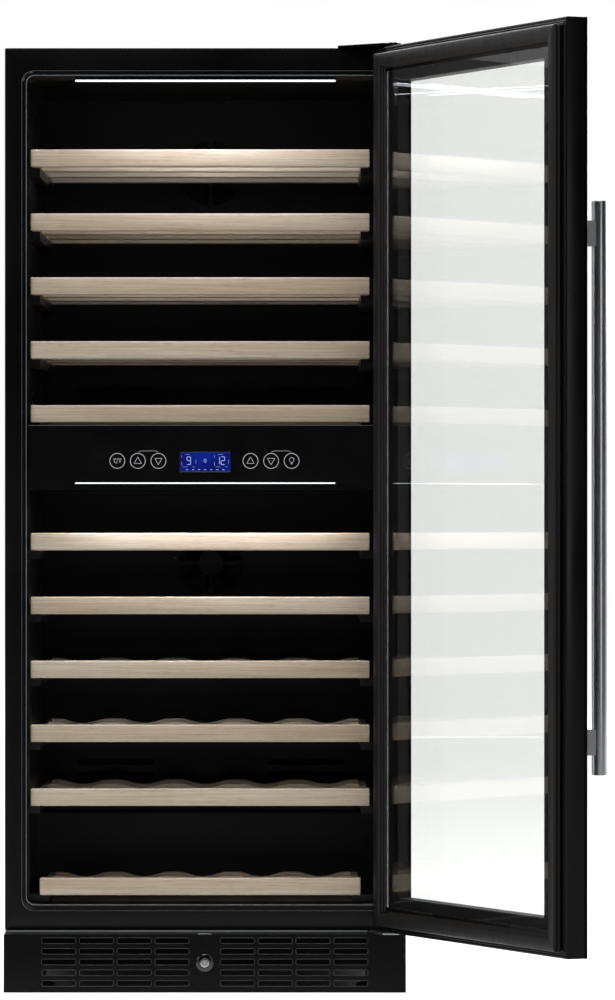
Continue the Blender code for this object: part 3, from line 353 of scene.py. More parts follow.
def makeFloatGlass():
    # float glass, low iron: a faint green-grey, and light passes through it to what stands behind
    material, tree, shader = newMaterial("floatGlass", "#fafbfa", 0.0, 0.0, Transmission_Weight=1.0, IOR=1.4)
    clear = addNode(tree, "ShaderNodeBsdfTransparent", {"Color": linear("#f3f5f4")})
    path = addNode(tree, "ShaderNodeLightPath")
    mix = addNode(tree, "ShaderNodeMixShader", {},
                  {0: path.outputs["Is Shadow Ray"], 1: shader, 2: clear})
    tree.links.new(mix.outputs[0], tree.nodes["Material Output"].inputs["Surface"])
    return material


def makeLedLens():
    # milky polycarbonate over a row of LEDs: a brighter spot every 12 mm along it
    material, tree, shader = newMaterial("ledLens", "#f2f5f8", 0.4, Emission_Strength=1.6)
    dots = pattern(tree, (12,) * 3, {"Scale": 0.314, "bands_direction": "X"},
                   [(0.0, "#dfe9ff"), (1.0, "#ffffff")], kind="ShaderNodeTexWave")
    connect(tree, shader, Emission_Color=dots["colour"])
    return material


def makeLiquidCrystal():
    # blue backlit liquid crystal: the light falls off towards the corners
    material, tree, shader = newMaterial("backlitLiquidCrystal", "#040a30", 0.14, Emission_Strength=0.42)
    broad = pattern(tree, (38, 38, 30), {"Detail": 0.0}, [(0.3, "#081678"), (0.7, "#1230bc")])
    connect(tree, shader, Emission_Color=broad["colour"])
    return material


def makePrint(name, colour, glow, rough=0.35):
    # screen printed ink, slightly uneven in gloss, also used for the pale frame beads and the plinth strip, which are
    # painted highlights and painted light rather than ink
    material, tree, shader = newMaterial(name, colour, rough, Emission_Strength=glow)
    shader.inputs["Emission Color"].default_value = linear(colour)
    speckle = pattern(tree, (0.8,) * 3, {"Detail": 2.0}, spread=(rough, rough + 0.15))
    connect(tree, shader, Roughness=speckle["spread"])
    return material


gasketVinyl = makeGasketVinyl()
acrylicPanel = makeBlackGloss("backPaintedAcrylic", 0.14, 0.35, 0.5)
ceramicPrint = makeBlackGloss("firedBlackEnamelOnGlass", 0.3, 0.0, 0.08)
beechBoard = makeBeech("beechAcross", (140, 3.2, 2.4), (900, 900, 60))
beechRunner = makeBeech("beechFrontToBack", (3.2, 140, 2.4), (60, 900, 60))
brushedBar = makeBrushed("brushedStainlessBar", (1.0, 1.0, 90), "#b4b5b8", "#909194", 0.27)
blastedPost = makeBrushed("beadBlastedSteel", (0.8, 0.8, 0.8), "#b2b3b6", "#9b9c9f", 0.5)
turnedSteel = makeBrushed("turnedNickelPlate", (1.2, 30, 1.2), "#b4b4b2", "#7e7e7d", 0.22)
zincPlate = makeBrushed("zincPlatedSteel", (40, 1.5, 40), "#aeb2b4", "#84888b", 0.32)
copperTube = makeBrushed("drawnCopperTube", (40, 1.5, 1.5), "#c98563", "#9c5c3e", 0.28)
finStock = makeBrushed("rolledAluminiumFin", (1.5, 1.5, 60), "#c3c5c7", "#999c9e", 0.34)
# black silicone foam, as warm edge spacers are made of
spacerBar = moulded("siliconeSpacerBar", "#040404", "#080808", 0.5, 1.2, 0.05, 0.2)
galvanised = makeGalvanised()
floatGlass = makeFloatGlass()
ledLens = makeLedLens()
displayGlow = makeLiquidCrystal()
displayInk = makePrint("displaySegments", "#8fa6e6", 0.34)
keyInk = makePrint("keyPrint", "#c2c4c8", 0.12)
# a pale grey strip in the gap over the plinth: painted light, where light shows through the gap
gapPaintedLight = makePrint("greyTrimPlastic", "#77797b", 0.0, 0.4)
# pale beads round the front frame's mouth and step: painted highlights on its lit edges
lipPaintedHighlight = makePrint("darkGreyLipPlastic", "#6e7074", 0.0, 0.3)


def makeFoam():
    # poured polyurethane: pale yellow, closed cells about a millimetre across
    material, tree, shader = newMaterial("pouredPolyurethaneFoam", "#d8c48c", 0.9)
    cells = pattern(tree, (1.6,) * 3, {"Detail": 3.0}, [(0.3, "#c4ad72"), (0.7, "#e6d7a6")],
                    (0.6, 0.5))
    connect(tree, shader, Base_Color=cells["colour"], Normal=cells["relief"])
    return material


def makeCircuitBoard():
    # glass-epoxy board under green solder resist, with copper runs showing as a paler net
    material, tree, shader = newMaterial("greenCircuitBoard", "#0d5226", 0.35)
    runs = pattern(tree, (5,) * 3, {"feature": "DISTANCE_TO_EDGE"},
                   [(0.03, "#2f8a4a"), (0.09, "#0d4a22")], kind="ShaderNodeTexVoronoi")
    connect(tree, shader, Base_Color=runs["colour"])
    return material


pouredFoam = makeFoam()
circuitGreen = makeCircuitBoard()
print("materials ready")


# surfaces: grids of points worked out as whole arrays

def gridFaces(rows, columns, closeRows, closeColumns):
    # each cell joins point (i, j) to its next row and next column, wrapping round where the grid closes
    i = np.arange(rows if closeRows else rows - 1)[:, None]
    j = np.arange(columns if closeColumns else columns - 1)[None]
    a, b = i * columns + j, (i + 1) % rows * columns + j
    c, d = (i + 1) % rows * columns + (j + 1) % columns, i * columns + (j + 1) % columns
    return np.stack([a, b, c, d], -1).reshape(-1, 4)


def surface(points, closed=False, capped=True, paint=0):
    # a grid of points whose rows are loops: the last row meets the first, or both ends get a flat face
    rows, columns = points.shape[:2]
    faces = gridFaces(rows, columns, closed, True).tolist()
    if capped and not closed:
        faces.append(list(range(columns)))
        faces.append(list(range(rows * columns - 1, (rows - 1) * columns - 1, -1)))
    return points.reshape(-1, 3), faces, paint


def pointingOut(verts, faces):
    # the signed volume under all faces, each fanned from its first corner, is negative on an inside-out shell
    volume = 0.0
    for size in {len(face) for face in faces}:
        fans = verts[np.array([face for face in faces if len(face) == size])]
        for k in range(1, size - 1):
            volume += np.einsum("ij,ij->", fans[:, 0], np.cross(fans[:, k], fans[:, k + 1]))
    return faces if volume > 0 else [face[::-1] for face in faces]


def addPiece(name, shapes, finishes, replaced=(), smoothBelow=38, body="cabinet", openShell=False):
    # one mesh object from several shapes, riding on its body and standing for the CAD nodes that it replaces
    verts, faces, paints, count = [], [], [], 0
    for points, shapeFaces, paint in shapes:
        shapeFaces = shapeFaces if openShell else pointingOut(points, shapeFaces)
        faces += [[index + count for index in face] for face in shapeFaces]
        paints += [paint] * len(shapeFaces)
        verts.append(points)
        count += len(points)
    mesh = bpy.data.meshes.new(name)
    mesh.from_pydata(np.concatenate(verts).tolist(), [], faces)
    for finish in finishes:
        mesh.materials.append(finish)
    mesh.polygons.foreach_set("material_index", np.array(paints, dtype=np.int32))
    mesh.shade_smooth()
    mesh.set_sharp_from_angle(angle=math.radians(smoothBelow))
    piece = bpy.data.objects.new(name, mesh)
    bpy.context.scene.collection.objects.link(piece)
    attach(piece, body)
    if replaced:
        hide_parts(*replaced)
    return piece


def softened(nodeName, pieceName, width, finish, slot, segments=2):
    # the CAD shape with its edges broken, as pressed and moulded parts have them
    source = frame["nodes"][nodeName]
    mesh = source.data.copy()
    mesh.name = pieceName
    work = bmesh.new()
    work.from_mesh(mesh)
    bmesh.ops.remove_doubles(work, verts=work.verts, dist=0.00002)
    bmesh.ops.dissolve_limit(work, angle_limit=math.radians(1), verts=work.verts, edges=work.edges)
    work.to_mesh(mesh)
    work.free()
    mesh.materials.clear()
    mesh.materials.append(finish)
    mesh.shade_smooth()
    piece = bpy.data.objects.new(pieceName, mesh)
    bpy.context.scene.collection.objects.link(piece)
    rounding = piece.modifiers.new("brokenEdges", "BEVEL")
    rounding.width = width * mm
    rounding.segments = segments
    rounding.limit_method = "ANGLE"
    rounding.angle_limit = math.radians(28)
    piece.modifiers.new("evenShading", "WEIGHTED_NORMAL")
    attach(piece, source["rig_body"])
    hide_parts(nodeName)
    return piece


def finishNode(name, finish):
    # a CAD node that is shown as it is, with its own material
    materials = frame["nodes"][name].data.materials
    materials.clear()
    materials.append(finish)


def corners(node):
    # a node's lowest and highest points
    low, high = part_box(node)
    return np.array(low), np.array(high)


def middleOf(node, **fixed):
    # the middle of a node's box, with any of x, y and z given instead
    low, high = corners(node)
    middle = dict(zip("xyz", (low + high) / 2))
    return np.array([fixed.get(axis, middle[axis]) for axis in "xyz"])


def roundedLoop(left, right, low, high, radius, steps=6):
    # a rectangle with quarter-circle corners, anticlockwise from the top right, as (across, up)
    turn = quarterTurn(steps + 1)
    loop = []
    for centreX, centreZ, start in (
        (right - radius, high - radius, 0), (left + radius, high - radius, 1),
        (left + radius, low + radius, 2), (right - radius, low + radius, 3),
    ):
        angle = turn + start * math.pi / 2
        loop.append(np.stack([centreX + radius * np.cos(angle), centreZ + radius * np.sin(angle)], -1))
    return np.concatenate(loop)


def loopStack(loops, depths):
    # flat loops (across, up) set at their depths along Y
    return np.stack([np.stack([loop[:, 0], np.full(len(loop), depth), loop[:, 1]], -1)
                     for loop, depth in zip(loops, depths)])


def frameOf(loops, depths, paint=0):
    # flat loops at their depths, joined into a closed ring like a picture frame
    return surface(loopStack(loops, depths), True, paint=paint)


def roundedBar(low, high, along, radius, ends, steps=3, stations=None, paint=0):
    # a rounded rectangle carried along an axis, drawn in at both ends along a quarter circle
    low, high = np.array(low, float), np.array(high, float)
    axis = "xyz".index(along)
    others = [k for k in range(3) if k != axis]
    turn = quarterTurn(4)
    inset = ends * (1 - np.sin(turn))
    reach = ends * (1 - np.cos(turn))
    middle = np.array([]) if stations is None else np.array(stations)
    places = np.concatenate([low[axis] + reach, middle, (high[axis] - reach)[::-1]])
    draws = np.concatenate([inset, np.zeros(len(middle)), inset[::-1]])
    rows = []
    for place, draw in zip(places, draws):
        loop = roundedLoop(
            low[others[0]] + draw, high[others[0]] - draw, low[others[1]] + draw, high[others[1]] - draw,
            max(radius - draw, 0.0002), steps,
        )
        row = np.empty((len(loop), 3))
        row[:, others[0]], row[:, others[1]], row[:, axis] = loop[:, 0], loop[:, 1], place
        rows.append(row)
    return surface(np.stack(rows), paint=paint)


def turned(profile, centre, axis, steps=64, paint=0, closed=False):
    # (radius, height) pairs turned about an axis: across = r cos a, other = r sin a, along = h
    profile = np.array(profile, float)
    angle = np.linspace(0, 2 * math.pi, steps, endpoint=False)
    r, h = profile[:, 0][:, None], profile[:, 1][:, None]
    across, other, along = r * np.cos(angle), r * np.sin(angle), h + 0 * angle
    stack = {"z": (across, other, along), "y": (across, along, other), "x": (along, across, other)}[axis]
    return surface(np.stack(stack, -1) + centre, closed, paint=paint)


def tube(path, radius, sides=10, paint=0):
    # circles set square to a path; the path's slope at each point gives the square plane
    path = np.array(path, float)
    slope = np.gradient(path, axis=0)
    slope /= np.linalg.norm(slope, axis=1)[:, None]
    reference = np.array([0.13, 0.21, 0.97])
    sideways = np.cross(slope, reference)
    sideways /= np.linalg.norm(sideways, axis=1)[:, None]
    upward = np.cross(sideways, slope)
    angle = np.linspace(0, 2 * math.pi, sides, endpoint=False)[None, :, None]
    points = path[:, None] + radius * (np.cos(angle) * sideways[:, None] + np.sin(angle) * upward[:, None])
    return surface(points, paint=paint)


def stroke(points, width, front, back, closed=False, paint=0):
    # a drawn line of some width in the XZ plane, with a little thickness: the line is offset to each side
    points = np.array(points, float)
    if closed:
        slope = np.roll(points, -1, 0) - np.roll(points, 1, 0)
    else:
        slope = np.gradient(points, axis=0)
    slope /= np.linalg.norm(slope, axis=1)[:, None]
    normal = np.stack([-slope[:, 1], slope[:, 0]], -1) * width / 2
    left, right = points + normal, points - normal
    section = [(left, front), (right, front), (right, back), (left, back)]
    rows = np.stack([np.stack([side[:, 0], np.full(len(side), y), side[:, 1]], -1) for side, y in section], 1)
    return surface(rows, closed, paint=paint)


def plate(outline, front, back, paint=0):
    # a flat outline (across, up) given its two depths
    return surface(loopStack([outline, outline], [front, back]), paint=paint)


def screwHead(place, axis, radius, height, paint=0):
    # a low dome with a hexagon socket: six-sided well in the middle of a turned head
    rings = [(radius, 0), (radius, 0.35), (radius * 0.86, 0.8), (radius * 0.6, 1.0), (radius * 0.46, 1.0)]
    angle = np.linspace(0, 2 * math.pi, 24, endpoint=False)
    rows = [np.stack([r * np.cos(angle), r * np.sin(angle), np.full(24, h * height)], -1) for r, h in rings]
    hexagon = radius * 0.4 / np.cos((angle + math.pi / 6) % (math.pi / 3) - math.pi / 6)
    for h in (0.98, 0.3):
        rows.append(np.stack([hexagon * np.cos(angle), hexagon * np.sin(angle), np.full(24, h * height)], -1))
    points = np.stack(rows)
    if axis == "y":
        points = points[..., [0, 2, 1]]
    return surface(points + place, paint=paint)


buildRoom()
buildBackdrop()
print("room and camera ready")


# cabinet: sheet panels, front frame, liner and foam

cabinet = {
    "lipBead": 1.0, "stepBead": 0.5, "sheetEdge": 0.35, "frameStepSide": 7.0, "frameStepLow": 9.0, "frameEdge": 1.6,
    "mouthRadius": 12.0, "linerRadius": 11.0, "linerSheet": 1.8, "floorFillet": 10.0, "stepFillet": 6.0,
    "screwRadius": 3.8, "screwHeight": 1.6, "screwInset": 12.0,
}


def sheetScrews(places, back):
    radius, height = cabinet["screwRadius"] * mm, cabinet["screwHeight"] * mm
    return [screwHead((x, back + 0.00005, z), "y", radius, height) for x, z in places]


def addSheetPanels():
    black, zinc = (coatedSteel, "cabinet_black"), (galvanised, "zinc_sheet")
    for node, pieceName, finish in (
        ("left_side_panel", "leftSideSheet", black), ("right_side_panel", "rightSideSheet", black),
        ("top_panel", "topSheet", black), ("back_panel", "backSheet", zinc), ("bottom_panel", "bottomSheet", zinc),
        # the base tray is drawn in the black coat, not zinc: painted shade seen behind the plinth slots
        ("base_tray", "baseTraySheet", black), ("fan_bracket", "fanBracketSheet", zinc),
    ):
        softened(node, pieceName, cabinet["sheetEdge"], *finish)
    finishNode("foam_insulation", pouredFoam)
    low, high = corners("back_panel")
    left, right = low[0] + cabinet["screwInset"] * mm, high[0] - cabinet["screwInset"] * mm
    places = [(x, z) for x in np.linspace(left, right, 4) for z in (low[2] + 0.010, high[2] - 0.010)]
    places += [(x, z) for x in (left, right) for z in np.linspace(low[2] + 0.2, high[2] - 0.2, 4)]
    addPiece("backPanelScrews", sheetScrews(places, high[1]), [zincPlate])


linerLow, linerHigh = corners("inner_liner")
openLeft, openRight = linerLow[0] + 0.002, linerHigh[0] - 0.002
openLow, openHigh = linerLow[2] + 0.002, linerHigh[2] - 0.002


def addFrontFrame():
    low, high = corners("front_frame")
    edge, back = cabinet["frameEdge"] * mm, high[1]
    side, under = cabinet["frameStepSide"] * mm, cabinet["frameStepLow"] * mm
    radius, stepCorner = cabinet["mouthRadius"] * mm, 0.0055

    def mouth(outSide, outLow, corner):
        return roundedLoop(openLeft - outSide, openRight + outSide, openLow - outLow, openHigh + outSide, corner)

    quarter = quarterTurn(4)
    outward = [(0, back)] + [(edge * (1 - math.cos(t)), edge * (1 - math.sin(t))) for t in quarter]
    loops = [roundedLoop(low[0] + d, high[0] - d, low[2] + d, high[2] - d, 0.0025) for d, depth in outward]
    # a step round the mouth, then the lip that rolls in: how far out at the side and below, depth, extra corner
    inward = [(side + 0.0012, under + 0.0012, 0, 0.006), (side + 0.0006, under + 0.0006, 0.0012, 0.0058),
              (side, under, 0.0012, stepCorner), (side - 0.0008, under - 0.0008, 0.0002, 0.005),
              (0.0022, 0.0022, 0.0002, 0.002)]
    for t in quarter:
        roll = 0.002 * (1 - math.sin(t))
        inward.append((roll, roll, 0.0002 + 0.002 * (1 - math.cos(t)), 0))
    inward.append((0, 0, back, 0))
    loops += [mouth(outSide, outLow, radius + more) for outSide, outLow, depth, more in inward]
    shapes = [frameOf(loops, [row[1] for row in outward] + [row[2] for row in inward])]
    # a paler bead round the mouth and a fine one on the step are painted highlights: pale rings where the lit edges
    # catch the light
    turn = np.linspace(0, 2 * math.pi, 8, endpoint=False)
    for outSide, outLow, name, corner in (
        (0.0001, 0.0001, "lipBead", radius), (side, under, "stepBead", radius + stepCorner),
    ):
        half = cabinet[name] * mm / 2
        rows = [mouth(outSide + a, outLow + a, corner) for a in half * (1 - np.cos(turn))]
        shapes.append(frameOf(rows, 0.0008 - half * np.sin(turn), 1))
    addPiece("frontFrameMoulding", shapes, [satinAbs, lipPaintedHighlight], ["front_frame"], 50)


def nodePoints(node):
    # all the points of a node's mesh
    data = frame["nodes"][node].data
    points = np.empty(len(data.vertices) * 3)
    data.vertices.foreach_get("co", points)
    return points.reshape(-1, 3)


def addLiner():
    # the cavity's cross-section at each depth is a rounded rectangle; its floor rises along a quarter circle,
    # a straight riser and a second quarter circle over the machine bay
    back = linerHigh[1] - 0.002
    stepTop = corners("lower_duct_panel")[0][2] - 0.0005
    radius, fillet, bend = (cabinet[key] * mm for key in ("linerRadius", "floorFillet", "stepFillet"))
    # the riser's visible face is where the cavity's floor ends
    points = nodePoints("inner_liner")
    riser = points[np.abs(points[:, 2] - openLow) < 0.0003][:, 1].max()
    turn = quarterTurn(7)
    y = [linerLow[1], 0.10, 0.20, *(riser - fillet + fillet * np.sin(turn)), *(riser + bend * (1 - np.cos(turn)))]
    y += [0.40, back - fillet, *(back - fillet + fillet * np.sin(turn[1:]))]
    floor = [openLow] * 3 + [*(openLow + fillet * (1 - np.cos(turn))), *(stepTop - bend * (1 - np.sin(turn)))]
    floor += [stepTop] * 8
    inset = np.concatenate([np.zeros(len(y) - 6), fillet * (1 - np.cos(turn[1:]))])
    rows = loopStack([roundedLoop(openLeft + d, openRight - d, f + d, openHigh - d, max(radius - d, 0.0012), 8)
                      for f, d in zip(floor, inset)], y)
    points, faces, paint = surface(rows, capped=False)
    faces.append(list(range((len(y) - 1) * rows.shape[1], len(y) * rows.shape[1])))
    piece = addPiece("innerLinerShell", [(points, faces, paint)], [formedLiner],
                     ["inner_liner"], 50, openShell=True)
    work = bmesh.new()
    work.from_mesh(piece.data)
    bmesh.ops.recalc_face_normals(work, faces=work.faces)
    work.to_mesh(piece.data)
    work.free()
    wall = piece.modifiers.new("sheetThickness", "SOLIDIFY")
    wall.thickness = cabinet["linerSheet"] * mm
    wall.offset = 1.0


addSheetPanels()
addFrontFrame()
addLiner()
print("cabinet ready")


# shelves: beech front board, two runners and scalloped slats

shelf = {"boardEdge": 2.6, "slatEdge": 1.6, "cradles": 5, "cradleDepth": 7.0, "slatDepth": 20.0,
         "runnerWidth": 12.0, "runnerHeight": 16.0, "boardThickness": 18.0, "firstSlat": 140.0, "lastSlat": 56.0,
         "slatInset": 14.2, "slatHeight": 20.0, "screwInset": 8.0, "screwRadius": 3.4, "screwHeight": 0.9}


def addShelf(number):
    node = f"shelf_{number:02d}"
    low, high = corners(node)
    edge = shelf["boardEdge"] * mm
    boardBack = low[1] + shelf["boardThickness"] * mm
    shapes = [roundedBar(low, (high[0], boardBack, high[2]), "x", edge, edge * 0.7, 4)]
    wide, tall = shelf["runnerWidth"] * mm, shelf["runnerHeight"] * mm
    for left in (low[0] + 0.002, high[0] - 0.002 - wide):
        shapes.append(roundedBar(
            (left, boardBack - 0.001, low[2]), (left + wide, high[1], low[2] + tall), "y", 0.0014, 0.0012, 3, paint=1
        ))
    # the lowest shelf stands over the step, so it is shorter and has one slat less
    count = 2 if number == 11 else 3
    slats = np.linspace(low[1] + shelf["firstSlat"] * mm, high[1] - shelf["lastSlat"] * mm, count)
    across = np.linspace(low[0] + shelf["slatInset"] * mm, high[0] - shelf["slatInset"] * mm, 90)
    span = across[-1] - across[0]
    half = shelf["slatDepth"] * mm / 2
    for middle in slats:
        points, faces, paint = roundedBar(
            (across[0] - 0.001, middle - half, low[2] + 0.0008),
            (across[-1] + 0.001, middle + half, low[2] + shelf["slatHeight"] * mm),
            "x", shelf["slatEdge"] * mm, 0.0004, stations=across[1:-1],
        )
        # the top sinks under each bottle along a raised cosine, flat between the cradles
        phase = (points[:, 0] - across[0]) / span * shelf["cradles"]
        sink = np.clip(0.5 - 0.5 * np.cos(2 * math.pi * phase), 0.18, 1.0) - 0.18
        share = np.clip((points[:, 2] - low[2] - 0.004) / 0.016, 0, 1)
        points[:, 2] -= sink / 0.82 * share * shelf["cradleDepth"] * mm
        shapes.append((points, faces, paint))
    addPiece(f"shelf{number:02d}Tray", shapes, [beechBoard, beechRunner], [node], 42, node)
    inset, size = shelf["screwInset"] * mm, (shelf["screwRadius"] * mm, shelf["screwHeight"] * mm)
    heads = [screwHead((x, middle, low[2] + tall - 0.0001), "z", *size)
             for x in (low[0] + inset, high[0] - inset) for middle in slats]
    addPiece(f"shelf{number:02d}Screws", heads, [zincPlate], body=node)


for number in range(1, 12):
    addShelf(number)
for side in ("left", "right"):
    softened(f"{side}_rails", f"{side}ShelfRails", 1.0, formedLiner, "liner_black")
print("shelves ready")


# divider, touch panel, display and lights

controls = {
    "lensHeight": 1.9, "slitLine": 1.3, "ledRow": 380.0,
    "keyRing": 23.0, "ringLine": 0.75, "keyHeight": 43.0,
    "keys": [(-130.6, "units"), (-100.1, "up"), (-69.5, "down"), (67.3, "up"), (97.9, "down"), (128.4, "lamp")],
    "brackets": [(-100.1, -69.5), (97.9, 128.4)], "bracketHeight": 14.8,
    "digitHeight": 11.5, "digitWidth": 5.4, "digitStroke": 1.0, "leftDigits": "9", "rightDigits": "12",
    "fieldSide": 24.3, "fieldWidth": 10.5, "fieldHeight": 9.2,
}
ledTint = "#f3f6ff"
segmentsOf = {"1": "bc", "2": "abged", "9": "abcdfg"}


def ellipse(x, z, radiusX, radiusZ, steps=40, start=0.0, end=360.0):
    whole = abs(end - start) >= 360
    angle = np.radians(np.linspace(start, end, steps, endpoint=not whole))
    return np.stack([x + radiusX * np.cos(angle), z + radiusZ * np.sin(angle)], -1)


def digitShapes(character, x, z, front, back):
    # seven bars laid out as on any segment display, each with pointed ends
    wide, tall, thick = (controls[k] * mm for k in ("digitWidth", "digitHeight", "digitStroke"))
    half, mid, gap = wide / 2, tall / 2, thick * 0.6
    bars = {
        "a": ((-half + gap, mid), (half - gap, mid)), "d": ((-half + gap, -mid), (half - gap, -mid)),
        "g": ((-half + gap, 0), (half - gap, 0)), "b": ((half, gap), (half, mid - gap)),
        "c": ((half, -mid + gap), (half, -gap)), "f": ((-half, gap), (-half, mid - gap)),
        "e": ((-half, -mid + gap), (-half, -gap)),
    }
    shapes = []
    for key in segmentsOf[character]:
        start, end = (np.array(p) for p in bars[key])
        way = (end - start) / np.linalg.norm(end - start)
        square = np.array([-way[1], way[0]]) * thick / 2
        point = way * thick / 2
        outline = [start - point, start + square, end + square, end + point, end - square, start - square]
        shapes.append(plate(np.array(outline)[::-1] + np.array([x, z]), front, back))
    return shapes


def keyShapes(kind, x, z, front, back):
    line = controls["ringLine"] * mm
    radius = (controls["keyRing"] * mm - line) / 2

    def draw(points, share=0.8, closed=False):
        return stroke(np.array(points) + (x, z), line * share, front, back, closed)

    shapes = [draw(ellipse(0, 0, radius, radius, 64), 1.0, True)]
    if kind in ("up", "down"):
        s = 1 if kind == "up" else -1
        triangle = np.array([(-0.0055, -0.0038 * s), (0.0, 0.0058 * s), (0.0055, -0.0038 * s)])
        ring = np.concatenate([np.linspace(triangle[i], triangle[(i + 1) % 3], 8, endpoint=False) for i in range(3)])
        shapes.append(draw(ring, closed=True))
    elif kind == "lamp":
        shapes.append(draw(ellipse(0, 0.0015, 0.0034, 0.0034, 24, -55, 235)))
        shapes += [draw([(-wide, -drop), (wide, -drop)], 0.72)
                   for wide, drop in ((0.0019, 0.0022), (0.0019, 0.0034), (0.0011, 0.0046))]
    else:
        # two degree marks, the letters C and F, and a slash between them
        shapes += [draw(ellipse(across, 0.0030, 0.0007, 0.0007, 12), 0.48, True) for across in (-0.0054, 0.0020)]
        shapes.append(draw(ellipse(-0.0026, 0, 0.0019, 0.0030, 16, 50, 310)))
        stem, arm, bar = 0.0036, 0.0064, 0.0058
        shapes += [draw(points) for points in ([(stem, -0.0030), (stem, 0), (stem, 0.0030)],
                                               [(stem, 0.0030), (arm, 0.0030)], [(stem, 0), (bar, 0)])]
        shapes.append(draw([(-0.0012, -0.0042), (0.0010, 0.0044)], 0.56))
    return shapes


def addTouchPanel():
    softened("zone_divider", "zoneDividerTray", 1.2, formedLiner, "liner_black")
    softened("control_panel", "touchPanel", 0.6, acrylicPanel, "control_gloss")
    finishNode("control_board", circuitGreen)
    low = corners("control_panel")[0]
    front, back = low[1] - 0.00022, low[1] + 0.0002
    keyLine = low[2] + controls["keyHeight"] * mm
    shapes = []
    for x, kind in controls["keys"]:
        shapes += keyShapes(kind, x * mm, keyLine, front, back)
    # a bracket over each pair of arrow keys
    top, drop, slant = keyLine + controls["bracketHeight"] * mm, 0.0022, 0.004
    for left, right in np.array(controls["brackets"]) * mm:
        points = [(left, top - drop), (left + slant, top), (right - slant, top), (right, top - drop)]
        shapes.append(stroke(points, 0.0004, front, back))
    addPiece("touchKeyPrint", shapes, [keyInk])


def addDisplay():
    low, high = corners("display_window")
    softened("display_window", "displayLens", 0.3, displayGlow, "display_blue")
    front, back = low[1] - 0.00018, low[1] + 0.0002
    middle = (low[2] + high[2]) / 2 + 0.0018
    fieldSide, wide, tall = (controls[key] * mm for key in ("fieldSide", "fieldWidth", "fieldHeight"))
    shapes = digitShapes(controls["leftDigits"], -fieldSide, middle, front, back)
    for i, character in enumerate(controls["rightDigits"]):
        shapes += digitShapes(character, 0.0185 + 0.0078 * i, middle, front, back)
    # a dashed frame round each zone's number, a small clock between them and ticks below
    for centre in (-fieldSide, fieldSide):
        box = roundedLoop(centre - wide, centre + wide, middle - tall, middle + tall, 0.0015, 2)
        ring = np.concatenate([np.linspace(a, b, 5, endpoint=False) for a, b in zip(box, np.roll(box, -1, 0))])
        for start in range(0, len(ring) - 2, 4):
            dash = ring[start:start + 3]
            if np.linalg.norm(dash[-1] - dash[0]) > 0.0008:
                shapes.append(stroke(dash, 0.00035, front, back))
    shapes.append(stroke(ellipse(0, middle, 0.0022, 0.0022, 16), 0.0005, front, back, True))
    shapes.append(stroke([(0, middle - 0.0034), (0, middle + 0.0034)], 0.0005, front, back))
    for x in -0.027 + 0.009 * np.arange(7):
        shapes.append(stroke([(x - 0.0016, low[2] + 0.0026), (x + 0.0016, low[2] + 0.0026)], 0.0009, front, back))
    addPiece("displaySegmentPrint", shapes, [displayInk])


def addLightBars():
    low, high = corners("upper_light")
    lens = low[2] + controls["lensHeight"] * mm
    inset = 0.0004
    shapes = [roundedBar((low[0], low[1], lens), high, "x", 0.0008, 0.0006),
              roundedBar((low[0] + inset, low[1] + inset, low[2]), (high[0] - inset, high[1] - inset, lens), "x",
                         0.0009, 0.0006, 4, paint=1)]
    addPiece("upperLedStrip", shapes, [satinAbs, ledLens], ["upper_light"])
    middle = (low + high) / 2
    for name, ahead in (("upperLedRow", 0), ("upperLedSpill", 0.034)):
        lamp = addLight(name, (middle[0], middle[1] - ahead, low[2] - 0.001),
                        (middle[0], middle[1] - ahead / 2, 0), view["upperLedPower"] / 2,
                        (controls["ledRow"] * mm, 0.012), ledTint)
        lamp.visible_glossy = False
    low, high = corners("lower_light")
    middleZ, line = (low[2] + high[2]) / 2, controls["slitLine"] * mm / 2
    below, above = middleZ - line, middleZ + line
    shapes = [roundedBar(low, (high[0], high[1], below), "x", 0.0003, 0.0002, 2),
              roundedBar((low[0], low[1], above), high, "x", 0.0003, 0.0002, 2),
              roundedBar((low[0] + 0.0005, low[1] + inset, below), (high[0] - 0.0005, high[1], above), "x", 0.0003,
                         0.0002, 2, paint=1)]
    addPiece("lowerLedStrip", shapes, [satinAbs, ledLens], ["lower_light"])
    lamp = addLight("lowerLedRow", (0, low[1] - 0.014, low[2] - 0.013), (0, low[1] + 0.01, 0.3),
                    view["lowerLedPower"], (controls["ledRow"] * mm, 0.006), ledTint)
    lamp.visible_glossy = False


addTouchPanel()
addDisplay()
addLightBars()
print("controls ready")


# air ducts, fans and evaporators

duct = {"hubRadius": 18.0, "hubDepth": 16.0, "blades": 7, "bladeSweep": 0.42, "bladeTwist": (62, 34),
        "bladeSheet": 1.4, "bladeChord": 9.5, "fins": 44, "finInset": 6.0, "finSheet": 0.8, "tubeRuns": 7,
        "tubeInset": 12.0, "tubeRadius": 4.0}


